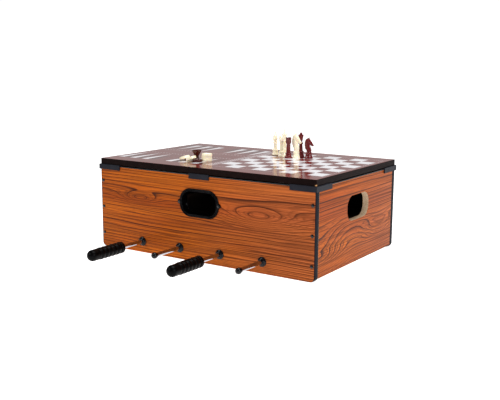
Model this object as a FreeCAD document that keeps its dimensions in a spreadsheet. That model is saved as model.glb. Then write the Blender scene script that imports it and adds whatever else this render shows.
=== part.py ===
import FreeCAD
import Part
import math
import os
import re
import sys

import Sketcher

# A table-top games box, in millimetres: a table-football box that stands rods-down, with a chess
# and backgammon board laid on its feet as a lid, and the loose playing pieces on the board.
# +X runs along the box, -Y is its front and +Z is up. The origin is on the ground under its middle.
# The sheet holds the driving dimensions. Each piece is bound to them by its expressions.

SIZES = {
    # case
    "box_length": 600, "box_depth": 400, "wall": 15, "case_top": 200, "edge_band": 1.5,
    "rim_corner": 10, "side_lift": 6, "rim_trim_height": 2.5,
    # pitch
    "pitch_low": 85, "pitch_thick": 4, "groove_depth": 5, "groove_play": 0.5,
    "goal_width": 90, "goal_slot": 30, "goal_inset": 22,
    # openings
    "port_rise": 137, "port_length": 100, "port_height": 56, "port_corner": 25,
    "ring_length": 110, "ring_height": 66, "ring_corner": 30, "ring_thick": 3,
    "ring_ear": 5.5, "ring_wall": 2, "ring_depth": 17,
    "grip_rise": 133.5, "grip_length": 108, "grip_height": 57, "grip_corner": 25,
    # fasteners
    "cap_head": 4, "cap_rise": 2.4, "cap_shank": 1.75, "cap_length": 34, "cap_inset": 7,
    "cap_low": 34.5, "cap_mid": 100, "cap_high": 164.5,
    "ring_screw_head": 3.4, "ring_screw_shank": 1.2, "ring_screw_length": 12,
    # clips under the board
    "clip_skin": 3, "clip_inner": 2.5, "clip_web": 2.5, "clip_drop": 10,
    "clip_leg_long": 62, "clip_leg_side": 66, "clip_middle": 55, "clip_ease": 1,
    # board
    "board_low": 205, "board_thick": 14, "board_corner": 2, "board_ease": 0.7,
    # how far a cutting shape runs past the piece it cuts
    "overrun": 1,
    # rods
    "rod_rise": 27, "goal_rod": 170, "attack_rod": 57, "rod_radius": 4.75, "rod_bore": 3.55,
    "running_gap": 0.05, "cap_reach": 291, "knob_radius": 7.2, "knob_socket": 3,
    "handle_start": 274, "handle_length": 108, "handle_radius": 13.5, "handle_root": 12.6,
    "handle_neck": 11.4, "handle_tip": 13, "handle_end_wall": 6,
    "sleeve_radius": 7, "bush_flange": 11, "bush_rise": 3.5, "bush_collar": 7.6,
    "bush_lip": 2, "nut_radius": 10.5, "nut_thick": 4,
    "bumper_radius": 9, "bumper_length": 8, "piece_gap": 0.3,
    "edge_round": 0.8, "knob_neck": 1,
    # players
    "player_pitch": 110, "player_half": 10, "foot_reach": 54, "foot_toe": 7,
    "head_radius": 7.5, "head_rise": 14.5, "torso_radius": 8.5, "leg_half": 7,
    # playing pieces
    "slim_base": 8.5, "mid_base": 9.2, "wide_base": 10, "tip_flat": 0.15, "slot_width": 1.1, "cross_bar": 1.4,
    "queen_tall": 62, "king_tall": 68, "bishop_tall": 60, "rook_tall": 51,
    "knight_tall": 63, "knight_small": 53, "knight_half": 4.2,
    "draught_radius": 12.5, "draught_thick": 6, "draught_rim": 2.6, "draught_sink": 0.8, "draught_dish": 1,
    "cup_mouth": 12, "cup_stem": 5, "cup_foot": 7.5, "cup_tall": 24, "cup_wall": 1.4,
}
QUARTER = round(math.sqrt(0.5), 6)  # radius over chord of a quarter circle
ALIASES = re.compile(r"\b(" + "|".join(SIZES) + r")\b")
UPRIGHT = FreeCAD.Rotation()
TO_FRONT = FreeCAD.Rotation(FreeCAD.Vector(1, 0, 0), 90)  # turns a piece's +Z to -Y
TO_BACK = FreeCAD.Rotation(FreeCAD.Vector(1, 0, 0), -90)
HALF_TURN = FreeCAD.Rotation(FreeCAD.Vector(0, 0, 1), 180)

doc = FreeCAD.newDocument("games_box")
sheet = doc.addObject("Spreadsheet::Sheet", "sizes")
for row, (alias, value) in enumerate(SIZES.items(), start=1):
    sheet.set(f"A{row}", alias.replace("_", " "))
    sheet.set(f"B{row}", str(value))
    sheet.setAlias(f"B{row}", alias)
working = doc.addObject("Spreadsheet::Sheet", "working")
doc.recompute()
nodes = {}  # label of each sub-part: the object that is written out


# ---- the sheet's formulas

def bound(formula):
    """A formula of the sheet's aliases, as an expression other objects can hold."""
    return ALIASES.sub(r"sizes.\1", formula)


def number(formula):
    """What a formula comes to now."""
    working.set("A1", "=" + bound(formula))
    working.recompute()
    return float(working.get("A1"))


def place(piece, x="0", y="0", z="0", rotation=UPRIGHT):
    """Turns a piece, then binds where its own origin goes."""
    piece.Placement = FreeCAD.Placement(FreeCAD.Vector(), rotation)
    for axis, formula in zip("xyz", (x, y, z)):
        piece.setExpression(f"Placement.Base.{axis}", bound(formula))
    return piece


# ---- sketches

def circle(x, y, radius):
    """A round outline for draw()."""
    return {"x": x, "y": y, "radius": radius}


def rectangle(left, low, right, high):
    """A square-cornered outline for draw()."""
    return [(left, low), (right, low), (right, high), (left, high)]


def rounded(rise, length, height, radius):
    """A round-cornered outline, centred across and at a rise."""
    out, turn_out = f"{length} / 2", f"{length} / 2 - {radius}"
    low, high = f"{rise} - {height} / 2", f"{rise} + {height} / 2"
    return [
        (f"-({turn_out})", low), (turn_out, low, QUARTER),
        (out, f"{low} + {radius}"), (out, f"{high} - {radius}", QUARTER),
        (turn_out, high), (f"-({turn_out})", high, QUARTER),
        (f"-({out})", f"{high} - {radius}"), (f"-({out})", f"{low} + {radius}", QUARTER),
    ]


def arc_between(start, end, bend):
    """The short arc whose radius is bend chords: anticlockwise when bend is over 0."""
    chord = end - start
    radius = abs(bend) * chord.Length
    left = FreeCAD.Vector(-chord.y, chord.x, 0).normalize() * math.copysign(1, bend)
    rise = math.sqrt(max(radius ** 2 - chord.Length ** 2 / 4, 0))
    centre = (start + end) / 2 + left * rise
    first, last = (start, end) if bend > 0 else (end, start)
    angles = [math.atan2(spot.y - centre.y, spot.x - centre.x) for spot in (first, last)]
    if angles[1] < angles[0]:
        angles[1] += 2 * math.pi
    return Part.ArcOfCircle(Part.Circle(centre, FreeCAD.Vector(0, 0, 1), radius), *angles)


def draw_circle(sketch, outline):
    """Adds a circle, bound by its centre and radius."""
    x, y, radius = outline["x"], outline["y"], outline["radius"]
    centre = FreeCAD.Vector(number(x), number(y), 0)
    ring = sketch.addGeometry(Part.Circle(centre, FreeCAD.Vector(0, 0, 1), number(radius)))
    pins = [
        Sketcher.Constraint("DistanceX", -1, 1, ring, 3, centre.x),
        Sketcher.Constraint("DistanceY", -1, 1, ring, 3, centre.y),
        Sketcher.Constraint("Radius", ring, number(radius)),
    ]
    for index, formula in zip(sketch.addConstraint(pins), (x, y, radius)):
        sketch.setExpression(f"Constraints[{index}]", bound(formula))


def draw_loop(sketch, outline):
    """Adds a closed outline of (x, y) or (x, y, bend) corners, each bound to its formulas."""
    spots = [FreeCAD.Vector(number(corner[0]), number(corner[1]), 0) for corner in outline]
    after = [(index + 1) % len(outline) for index in range(len(outline))]
    bends = [corner[2] if len(corner) == 3 else 0 for corner in outline]
    edges = [
        arc_between(spots[i], spots[after[i]], bends[i]) if bends[i]
        else Part.LineSegment(spots[i], spots[after[i]])
        for i in range(len(outline))
    ]
    ids = sketch.addGeometry(edges)
    ends = [(1, 2) if bend >= 0 else (2, 1) for bend in bends]  # an arc is kept anticlockwise
    sketch.addConstraint([
        Sketcher.Constraint("Coincident", ids[i], ends[i][1], ids[after[i]], ends[after[i]][0])
        for i in range(len(outline))
    ])
    pins, formulas = [], []
    for i, corner in enumerate(outline):
        pins.append(Sketcher.Constraint("DistanceX", -1, 1, ids[i], ends[i][0], spots[i].x))
        pins.append(Sketcher.Constraint("DistanceY", -1, 1, ids[i], ends[i][0], spots[i].y))
        formulas += [corner[0], corner[1]]
        if bends[i]:
            x, y = outline[after[i]][:2]
            pins.append(Sketcher.Constraint("Radius", ids[i], edges[i].Radius))
            formulas.append(
                f"{abs(bends[i])} * hypot({x} - ({corner[0]}); {y} - ({corner[1]}))")
    for index, formula in zip(sketch.addConstraint(pins), formulas):
        sketch.setExpression(f"Constraints[{index}]", bound(formula))


def sketched(body, plane, outlines):
    """A sketch on one of the body's own origin planes."""
    sketch = body.newObject("Sketcher::SketchObject", body.Name + "_sketch")
    base = [feature for feature in body.Origin.OriginFeatures if feature.Role == plane]
    sketch.AttachmentSupport = (base[0], [""])
    sketch.MapMode = "FlatFace"
    for outline in outlines:
        (draw_circle if isinstance(outline, dict) else draw_loop)(sketch, outline)
    return sketch


# ---- features

def padded(label, plane, outline, thickness, pockets=(), centred=False):
    """A body: one outline made thick along its plane's normal, less its pockets.

    A pocket is (outlines, depth) and starts from the sketch's own plane. Without a depth it
    goes right through.
    """
    body = doc.addObject("PartDesign::Body", label)
    body.Label = label
    pad = body.newObject("PartDesign::Pad", label + "_pad")
    pad.Profile = sketched(body, plane, [outline])
    pad.setExpression("Length", bound(thickness))
    pad.Midplane = centred
    for outlines, depth in pockets:
        doc.recompute()
        before = body.Shape.Volume
        pocket = body.newObject("PartDesign::Pocket", label + "_pocket")
        pocket.Profile = sketched(body, plane, outlines)
        pocket.Reversed = True
        if depth is None:
            pocket.Type = "ThroughAll"
            pocket.Midplane = centred
        else:
            pocket.setExpression("Length", bound(depth))
        doc.recompute()
        if body.Shape.Volume >= before:
            raise ValueError(f"a pocket of {label} takes nothing away")
    return body


def clear_of_axis(profile):
    """A lathe outline whose arcs stop at a tiny flat, because an arc can't end on the axis."""
    cleared = []
    for before, corner in zip([profile[-1]] + profile, profile):
        if len(before) == 3 and number(corner[0]) == 0:
            cleared.append(("tip_flat", corner[1]))
        cleared.append(corner)
    return cleared


def turned(label, profile):
    """A body turned on a lathe: a (radius, height) outline swept round +Z."""
    body = doc.addObject("PartDesign::Body", label)
    body.Label = label
    sketch = sketched(body, "XZ_Plane", [clear_of_axis(profile)])
    sweep = body.newObject("PartDesign::Revolution", label + "_turn")
    sweep.Profile = sketch
    sweep.ReferenceAxis = (sketch, ["V_Axis"])
    sweep.Angle = 360
    return body


def eased(body, radius, wanted):
    """Rounds the edges of a body that wanted(edge) picks."""
    doc.recompute()
    last = body.Tip
    names = [f"Edge{i}" for i, edge in enumerate(last.Shape.Edges, start=1) if wanted(edge)]
    fillet = body.newObject("PartDesign::Fillet", body.Name + "_ease")
    fillet.Base = (last, names)
    fillet.setExpression("Radius", bound(radius))
    return body


def solid(kind, label, x="0", y="0", z="0", rotation=UPRIGHT, **formulas):
    """A Part primitive, such as Box or Cylinder, with its sizes and its place bound."""
    piece = doc.addObject("Part::" + kind, label)
    for name, formula in formulas.items():
        piece.setExpression(name, bound(formula))
    return place(piece, x, y, z, rotation)


def joined(label, pieces, kind="Part::MultiFuse"):
    """One object of several: fused, or with Part::Compound side by side as separate solids."""
    whole = doc.addObject(kind, label)
    whole.Label = label
    if kind == "Part::Compound":
        whole.Links = pieces
    else:
        whole.Shapes = pieces
        whole.Refine = True
    return whole


def without(label, base, tools):
    """A piece less its tools."""
    rest = doc.addObject("Part::Cut", label)
    rest.Base = base
    rest.Tool = tools[0] if len(tools) == 1 else joined(label + "_tools", tools)
    rest.Refine = True
    return rest


def keep(label, piece):
    """Names a piece as a sub-part, which gives its file its name."""
    piece.Label = label
    nodes[label] = piece
    return piece


# ---- case

ROD_PLACES = {1: "-goal_rod", 2: "-attack_rod", 3: "attack_rod", 4: "goal_rod"}
CAP_RISES = ("cap_low", "cap_mid", "cap_high")
CAP_X = "(box_length / 2 - cap_inset)"
EARS = ("-ring_length / 2", "ring_length / 2")


def long_panel(label, facing):
    """Front or back panel: round lower corners, a port, rod and screw holes, the pitch groove."""
    core, foot = "box_length / 2 - edge_band", "box_length / 2 - rim_corner"
    outline = [
        (f"-({core})", "case_top"), (f"-({core})", "rim_corner", QUARTER),
        (f"-({foot})", "edge_band"), (f"-({foot})", "0"),
        (foot, "0"), (foot, "edge_band", QUARTER), (core, "rim_corner"), (core, "case_top"),
    ]
    port = rounded("port_rise", "port_length", "port_height", "port_corner")
    holes = [circle(x, "rod_rise", "sleeve_radius") for x in ROD_PLACES.values()]
    holes += [circle(f"{side} * {CAP_X}", rise, "cap_shank") for side in (-1, 1) for rise in CAP_RISES]
    holes += [circle(x, "port_rise", "ring_screw_shank") for x in EARS]
    reach = "box_length / 2 - wall + groove_depth"
    groove = rectangle(f"-({reach})", "pitch_low", reach, "pitch_low + pitch_thick")
    pockets = [([port], None), (holes, None), ([groove], "groove_depth")]
    panel = padded(label, "XZ_Plane", outline, "wall", pockets)
    inner = f"{facing} * (box_depth / 2 - wall)"
    return keep(label, place(panel, y=inner, rotation=UPRIGHT if facing < 0 else HALF_TURN))


def side_panel(label, facing):
    """End panel between the long ones: a bare-edged grip opening and the pitch groove."""
    half = "box_depth / 2 - wall"
    outline = rectangle(f"-({half})", "side_lift", half, "case_top")
    grip = rounded("grip_rise", "grip_length", "grip_height", "grip_corner")
    groove = rectangle(f"-({half})", "pitch_low", half, "pitch_low + pitch_thick")
    pockets = [([grip], None), ([groove], "groove_depth")]
    panel = padded(label + "_blank", "YZ_Plane", outline, "wall", pockets)
    place(panel, x=f"{facing} * (box_length / 2 - wall)", rotation=UPRIGHT if facing > 0 else HALF_TURN)
    depth = "(cap_length - wall)"
    pilots = [
        solid("Cylinder", f"{label}_pilot_{end + 1}_{rise}", x=f"{facing} * {CAP_X}", z=rise,
              y=f"{end} * (box_depth / 2 - wall - {depth})", rotation=TO_BACK if end > 0 else TO_FRONT,
              Radius="cap_shank", Height=depth)
        for end in (-1, 1) for rise in CAP_RISES
    ]
    return keep(label, without(label, panel, pilots))


def pitch():
    """The football pitch: a sheet held in the panels' grooves, with a goal slot at each end."""
    long_half = "box_length / 2 - wall + groove_depth - groove_play"
    deep_half = "box_depth / 2 - wall + groove_depth - groove_play"
    outline = rectangle(f"-({long_half})", f"-({deep_half})", long_half, deep_half)
    outer = "box_length / 2 - wall - goal_inset"
    slots = [
        rectangle(*limits)
        for limits in ((f"-({outer})", "-goal_width / 2", f"goal_slot - ({outer})", "goal_width / 2"),
                       (f"{outer} - goal_slot", "-goal_width / 2", outer, "goal_width / 2"))
    ]
    return keep("pitch_panel", place(padded("pitch_panel", "XY_Plane", outline, "pitch_thick",
                                            [(slots, None)]), z="pitch_low"))


def end_strips():
    """Edge bands on the long panels' ends, each carried round the lower corner."""
    outer, core, foot = "box_length / 2", "box_length / 2 - edge_band", "box_length / 2 - rim_corner"
    outline = [
        (core, "case_top"), (core, "rim_corner", -QUARTER), (foot, "edge_band"), (foot, "0", QUARTER),
        (outer, "rim_corner"), (outer, "case_top"),
    ]
    strips = []
    for side, rotation in ((1, UPRIGHT), (-1, HALF_TURN)):
        for end in (-1, 1):
            start = "box_depth / 2 - wall" if end * side < 0 else "box_depth / 2"
            strip = padded(f"end_strip_{len(strips)}", "XZ_Plane", outline, "wall")
            strips.append(place(strip, y=f"{end} * ({start})", rotation=rotation))
    return keep("end_strips", joined("end_strips", strips, "Part::Compound"))


def rim_trims():
    """The dark trim along the top edges of the four panels."""
    long_size = {"Length": "box_length", "Width": "wall", "Height": "rim_trim_height"}
    side_size = {"Length": "wall", "Width": "box_depth - 2 * wall", "Height": "rim_trim_height"}
    left, front = "-box_length / 2", "-box_depth / 2"
    bars = [
        solid("Box", "trim_front", left, front, "case_top", **long_size),
        solid("Box", "trim_back", left, "box_depth / 2 - wall", "case_top", **long_size),
        solid("Box", "trim_left", left, "wall - box_depth / 2", "case_top", **side_size),
        solid("Box", "trim_right", "box_length / 2 - wall", "wall - box_depth / 2", "case_top", **side_size),
    ]
    return keep("rim_trims", joined("rim_trims", bars, "Part::Compound"))


CLIP_GRIP = "(clip_drop + clip_web)"


def clip_channel(label, outline, wall_outline):
    """A clip: a block with the wall's thickness taken out from below, so that it sits astride."""
    clip = padded(label, "XY_Plane", outline, CLIP_GRIP, [([wall_outline], "clip_drop")])
    top = number(CLIP_GRIP)

    def outer_rim(edge):
        return all(abs(vertex.Z - top) < 0.01 for vertex in edge.Vertexes)

    eased(clip, "clip_ease", outer_rim)
    return keep(label, place(clip, z="case_top + rim_trim_height - clip_drop"))


def corner_clip(label, side, end):
    """A corner clip: one leg along the long panel and one along the end panel."""
    out_x, out_y = f"{side} * (box_length / 2 + clip_skin)", f"{end} * (box_depth / 2 + clip_skin)"
    wall_x, wall_y = f"{side} * box_length / 2", f"{end} * box_depth / 2"
    in_x = f"{side} * (box_length / 2 - wall - clip_inner)"
    in_y = f"{end} * (box_depth / 2 - wall - clip_inner)"
    end_x = f"{side} * (box_length / 2 - clip_leg_long)"
    end_y = f"{end} * (box_depth / 2 - clip_leg_side)"
    room_x, room_y = f"{side} * (box_length / 2 - wall)", f"{end} * (box_depth / 2 - wall)"
    past_x, past_y = f"{end_x} - {side} * overrun", f"{end_y} - {end} * overrun"
    block = [(out_x, out_y), (out_x, end_y), (in_x, end_y), (in_x, in_y), (end_x, in_y), (end_x, out_y)]
    wall = [
        (wall_x, wall_y), (wall_x, past_y), (room_x, past_y),
        (room_x, room_y), (past_x, room_y), (past_x, wall_y),
    ]
    return clip_channel(label, block, wall)


def middle_clip(label, end):
    """A straight clip at the middle of a long panel."""
    half, past = "clip_middle / 2", "(clip_middle / 2 + overrun)"
    outer, inner = f"{end} * (box_depth / 2 + clip_skin)", f"{end} * (box_depth / 2 - wall - clip_inner)"
    block = rectangle(f"-{half}", outer, half, inner)
    wall = rectangle(f"-{past}", f"{end} * box_depth / 2", past, f"{end} * (box_depth / 2 - wall)")
    return clip_channel(label, block, wall)


def port_ring(label, facing):
    """The ring that lines a port: a flange with two screw ears and a sleeve through the panel."""
    flange = padded(label + "_flange", "XZ_Plane", rounded("0", "ring_length", "ring_height", "ring_corner"),
                    "ring_thick")
    ears = [
        solid("Cylinder", f"{label}_ear_{index}", x=x, rotation=TO_FRONT,
              Radius="ring_ear", Height="ring_thick")
        for index, x in enumerate(EARS)
    ]
    sleeve = padded(label + "_sleeve", "XZ_Plane", rounded("0", "port_length", "port_height", "port_corner"),
                    "ring_depth")
    place(sleeve, y="ring_depth")
    bore_size = [f"{name} - 2 * ring_wall" for name in ("port_length", "port_height")]
    bore = padded(label + "_bore", "XZ_Plane",
                  rounded("0", f"({bore_size[0]})", f"({bore_size[1]})", "(port_corner - ring_wall)"),
                  "ring_depth + 2 * ring_thick")
    place(bore, y="ring_depth + overrun")
    holes = [
        solid("Cylinder", f"{label}_hole_{index}", x=x, y="overrun", rotation=TO_FRONT,
              Radius="ring_screw_shank", Height="ring_thick + 2 * overrun")
        for index, x in enumerate(EARS)
    ]
    ring = without(label, joined(label + "_body", [flange, sleeve] + ears), [bore] + holes)
    rotation = UPRIGHT if facing < 0 else HALF_TURN
    return keep(label, place(ring, y=f"{facing} * box_depth / 2", z="port_rise", rotation=rotation))


def domed_screw(label, head, rise, shank, length):
    """A dome-headed screw, its shank down from 0 and its head up."""
    return turned(label, [
        ("0", f"-{length}"), (shank, f"-{length}"), (shank, "0"), (head, "0"), (head, f"0.3 * {rise}", 1.1),
        ("0", rise),
    ])


def screw_group(label, places, surface, head, rise, shank, length):
    """Identical screws, driven into both long panels from outside."""
    screws = []
    for facing, rotation in ((-1, TO_FRONT), (1, TO_BACK)):
        for x, z in places:
            screw = domed_screw(f"{label}_{len(screws)}", head, rise, shank, length)
            screws.append(place(screw, x, f"{facing} * ({surface})", z, rotation))
    return keep(label, joined(label, screws, "Part::Compound"))


def bushings():
    """Flanged sleeves that carry the rods, and the nuts that hold them from inside."""
    bore = "rod_radius + running_gap"
    sleeve_profile = [
        (bore, "-(wall + nut_thick)"), ("sleeve_radius", "-(wall + nut_thick)"), ("sleeve_radius", "0"),
        ("bush_flange", "0"), ("bush_flange", "0.4 * bush_rise", 1.2), ("bush_collar", "bush_rise"),
        ("bush_collar", "bush_rise + 0.6 * bush_lip", 1), ("0.85 * bush_collar", "bush_rise + bush_lip"),
        (bore, "bush_rise + bush_lip"),
    ]
    nut_profile = [
        ("sleeve_radius", "-(wall + nut_thick)"), ("nut_radius - edge_round", "-(wall + nut_thick)", QUARTER),
        ("nut_radius", "edge_round - (wall + nut_thick)"), ("nut_radius", "-wall"),
        ("sleeve_radius", "-wall"),
    ]
    for label, profile in (("rod_bushings", sleeve_profile), ("bushing_nuts", nut_profile)):
        pieces = [
            place(turned(f"{label}_{rod}_{facing + 1}", profile), x, f"{facing} * box_depth / 2", "rod_rise",
                  TO_FRONT if facing < 0 else TO_BACK)
            for rod, x in ROD_PLACES.items() for facing in (-1, 1)
        ]
        keep(label, joined(label, pieces, "Part::Compound"))


# ---- rods

GRIP_RINGS = 5


def rest_lean():
    """Degrees from straight down to where a player's toe just clears the ground."""
    toe_reach = number("hypot(foot_reach; foot_toe)")
    hang = math.acos(number("rod_rise - piece_gap") / toe_reach)
    return math.degrees(hang + math.atan2(number("foot_toe"), number("foot_reach")))


def handle(label):
    """A grip: a round collar, a run of rings and a domed tip, with a blind bore for the rod."""
    first, last = "0.13 * handle_length", "0.72 * handle_length"
    profile = [
        ("rod_radius", "0"), ("0.8 * handle_radius", "0", QUARTER), ("handle_radius", "0.2 * handle_radius"),
        ("handle_radius", "0.07 * handle_length", 0.8), ("handle_neck", "0.1 * handle_length"),
        ("handle_neck", f"{first} - 0.01 * handle_length"), ("handle_root", first, 1.3),
    ]
    for ring in range(1, GRIP_RINGS):
        profile.append(("handle_root", f"{first} + {ring} / {GRIP_RINGS} * ({last} - {first})", 1.3))
    profile += [
        ("handle_root", last), ("handle_tip", f"{last} + 0.02 * handle_length"),
        ("handle_tip", "handle_length - handle_tip", QUARTER),
        ("0", "handle_length"), ("0", "handle_length - handle_end_wall"),
        ("rod_radius", "handle_length - handle_end_wall"),
    ]
    return turned(label, profile)


def knob(label):
    """The ball on a rod's plain end, with a short neck and a socket for the rod."""
    neck = "0.72 * knob_radius"
    return turned(label, [
        ("rod_radius", "-knob_radius - knob_neck"), (neck, "-knob_radius - knob_neck"),
        (neck, "-0.694 * knob_radius", 0.9),
        ("knob_radius", "0", QUARTER), ("0", "knob_radius"), ("0", "-knob_radius + knob_socket"),
        ("rod_radius", "-knob_radius + knob_socket"),
    ])


def player(label):
    """One player, feet down: legs and a block foot, a round body across, a head, the rod's bore."""
    sole, ankle = "-foot_reach", "0.22 * foot_reach - foot_reach"
    legs = padded(label + "_legs", "XZ_Plane", [
        ("-foot_toe", sole), ("foot_toe", sole), ("foot_toe", f"{sole} + 4", QUARTER),
        ("0.5 * foot_toe", ankle), ("0.6 * torso_radius", "0"), ("0.5 * torso_radius", "0.8 * torso_radius"),
        ("-0.5 * torso_radius", "0.8 * torso_radius"), ("-0.6 * torso_radius", "0"),
        ("-0.5 * foot_toe", ankle, QUARTER), ("-foot_toe", f"{sole} + 4"),
    ], "2 * leg_half", centred=True)
    torso = solid("Cylinder", label + "_torso", y="-player_half", rotation=TO_BACK,
                  Radius="torso_radius", Height="2 * player_half")
    neck = solid("Cylinder", label + "_neck", Radius="0.5 * head_radius", Height="head_rise")
    head = solid("Sphere", label + "_head", z="head_rise", Radius="head_radius")
    bore = solid("Cylinder", label + "_bore", y="-2 * player_half", rotation=TO_BACK,
                 Radius="rod_radius", Height="4 * player_half")
    return without(label, joined(label + "_body", [legs, torso, neck, head]), [bore])


def rod_set(index, x, facing, columns):
    """One rod with its handle to the side facing gives, and its knob, players and bumpers."""
    to_handle, to_knob = (TO_FRONT, TO_BACK) if facing < 0 else (TO_BACK, TO_FRONT)
    length = "handle_start + handle_length - handle_end_wall + cap_reach - knob_radius + knob_socket"
    start = f"{-facing} * (cap_reach - knob_radius + knob_socket)"
    tube = turned(f"rod_{index}", rectangle("rod_bore", "0", "rod_radius", length))
    keep(f"rod_{index}", place(tube, x, start, "rod_rise", to_handle))
    grip = handle(f"handle_{index}")
    keep(f"handle_{index}", place(grip, x, f"{facing} * handle_start", "rod_rise", to_handle))
    keep(f"knob_{index}", place(knob(f"knob_{index}"), x, f"{-facing} * cap_reach", "rod_rise", to_knob))
    lean = FreeCAD.Rotation(FreeCAD.Vector(0, 1, 0), -rest_lean())
    for column in columns:
        label = f"player_{index}" if len(columns) == 1 else f"player_{index}_{'abc'[column + 1]}"
        keep(label, place(player(label), x, f"{column} * player_pitch", "rod_rise", lean))
    reach = f"{max(columns)} * player_pitch + player_half + piece_gap"
    ring = rectangle("rod_radius + running_gap", "0", "bumper_radius", "bumper_length")
    bumpers = [
        place(turned(f"bumper_{index}_{end + 1}", ring), x, f"{end} * ({reach})", "rod_rise",
              TO_FRONT if end < 0 else TO_BACK)
        for end in (-1, 1)
    ]
    keep(f"bumpers_{index}", joined(f"bumpers_{index}", bumpers, "Part::Compound"))


# ---- playing pieces

BOARD_TOP = "board_low + board_thick"
# A chessman's foot, as (share of base radius, share of height[, bend]): a bell under a ring.
FOOT = [
    (0, 0), (1, 0), (1, 0.035, 0.8), (0.94, 0.07, -1.3), (0.76, 0.2), (0.83, 0.215, 0.6),
    (0.83, 0.245), (0.58, 0.265),
]


def chess_profile(base, tall, steps):
    """A lathe outline: the foot, then steps above it in the same shares."""
    return [(f"{step[0]} * {base}", f"{step[1]} * {tall}", *step[2:]) for step in FOOT + steps]


def bishop(label, base, tall):
    """A bishop: a ringed stem, a mitre cut by a slanted slot and a bead on top."""
    body = turned(label + "_body", chess_profile(base, tall, [
        (0.44, 0.5), (0.62, 0.53, 0.6), (0.62, 0.56), (0.44, 0.58), (0.4, 0.61, 0.75),
        (0.6, 0.74, 1.0), (0.14, 0.925), (0.18, 0.935, 0.56), (0, 1),
    ]))
    slot = solid("Box", label + "_slot", x=f"0.1 * {base}", y=f"-{base}", z=f"0.76 * {tall}",
                 rotation=FreeCAD.Rotation(FreeCAD.Vector(0, 1, 0), -25),
                 Length=base, Width=f"2 * {base}", Height="slot_width")
    return without(label, body, [slot])


def king(label, base, tall):
    """A king: a ringed stem, a flared crown and a cross."""
    body = turned(label + "_body", chess_profile(base, tall, [
        (0.46, 0.5), (0.68, 0.53, 0.6), (0.68, 0.56), (0.46, 0.58), (0.44, 0.6),
        (0.66, 0.78), (0.6, 0.81, 1.1), (0.16, 0.86), (0.16, 0.9), (0, 0.9),
    ]))
    post = solid("Box", label + "_post", x="-0.7 * cross_bar", y="-0.5 * cross_bar", z=f"0.85 * {tall}",
                 Length="1.4 * cross_bar", Width="cross_bar", Height=f"0.15 * {tall}")
    bar = solid("Box", label + "_bar", x="-1.9 * cross_bar", y="-0.5 * cross_bar", z=f"0.925 * {tall}",
                Length="3.8 * cross_bar", Width="cross_bar", Height="1.3 * cross_bar")
    return joined(label, [body, post, bar])


def queen(label, base, tall):
    """A queen: a ringed stem and a flared coronet, notched round its rim, with a bead in it."""
    body = turned(label + "_body", chess_profile(base, tall, [
        (0.44, 0.52), (0.66, 0.55, 0.6), (0.66, 0.58), (0.44, 0.6), (0.42, 0.64),
        (0.76, 0.91), (0.6, 0.91), (0.44, 0.86), (0.22, 0.92), (0, 0.92),
    ]))
    notches = [
        solid("Cylinder", f"{label}_notch_{index}", z=f"0.92 * {tall}",
              rotation=FreeCAD.Rotation(FreeCAD.Vector(0, 0, 1), 45 * index).multiply(TO_FRONT),
              Radius="slot_width", Height=base)
        for index in range(8)
    ]
    bead = solid("Sphere", label + "_bead", z=f"0.945 * {tall}", Radius=f"0.055 * {tall}")
    return joined(label, [without(label + "_crown", body, notches), bead])


def rook(label, base, tall):
    """A rook: a plain stem under a drum with a battlement."""
    body = turned(label + "_body", chess_profile(base, tall, [
        (0.54, 0.66), (0.54, 0.69), (0.68, 0.73), (0.73, 0.76), (0.73, 1), (0.5, 1), (0.5, 0.88),
        (0, 0.88),
    ]))
    gaps = [
        solid("Box", f"{label}_gap_{index}", z=f"0.91 * {tall}",
              rotation=FreeCAD.Rotation(FreeCAD.Vector(0, 0, 1), 90 * index),
              Length=base, Width="2 * slot_width", Height=f"0.2 * {tall}")
        for index in range(4)
    ]
    return without(label, body, gaps)


def knight(label, base, tall):
    """A knight: a turned foot and a horse's head cut from the flat, its muzzle to +X."""
    foot = turned(label + "_foot", chess_profile(base, tall, [(0.6, 0.3), (0, 0.3)]))
    horse = [
        (-0.115, 0.26), (0.13, 0.26), (0.148, 0.36, 1.5), (0.02, 0.645), (0.135, 0.635), (0.185, 0.565),
        (0.268, 0.62, 0.7), (0.25, 0.675), (0.12, 0.84), (0.065, 0.93), (0.025, 1), (-0.025, 0.93),
        (-0.155, 0.93, 0.8), (-0.235, 0.8), (-0.235, 0.5, 0.9), (-0.16, 0.38),
    ]
    head = padded(label + "_head", "XZ_Plane", [
        (f"{spot[0]} * {tall}", f"{spot[1]} * {tall}", *spot[2:]) for spot in horse
    ], "2 * knight_half", centred=True)
    return joined(label, [foot, head])


def draught(label):
    """A draught: a low disc with a raised rim on both faces."""
    step, rim = "draught_radius - draught_rim", "draught_radius - edge_round"
    dip = "draught_radius - draught_rim - draught_dish"
    return turned(label, [
        ("0", "draught_sink"), (dip, "draught_sink"), (step, "0"), (rim, "0", QUARTER),
        ("draught_radius", "edge_round"), ("draught_radius", "draught_thick - edge_round", QUARTER),
        (rim, "draught_thick"), (step, "draught_thick"), (dip, "draught_thick - draught_sink"),
        ("0", "draught_thick - draught_sink"),
    ])


def cup(label):
    """A small footed cup: a cone of a bowl on a short stem."""
    bowl = "0.45 * cup_tall"
    return turned(label, [
        ("0", "0"), ("cup_foot", "0", QUARTER), ("cup_foot", "0.08 * cup_tall"),
        ("cup_stem", "0.2 * cup_tall"),
        ("cup_stem", bowl), ("cup_mouth", "cup_tall", 0.7), ("cup_mouth - cup_wall", "cup_tall"),
        ("cup_stem - cup_wall", f"{bowl} + cup_wall"), ("0", f"{bowl} + cup_wall"),
    ])


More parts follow.
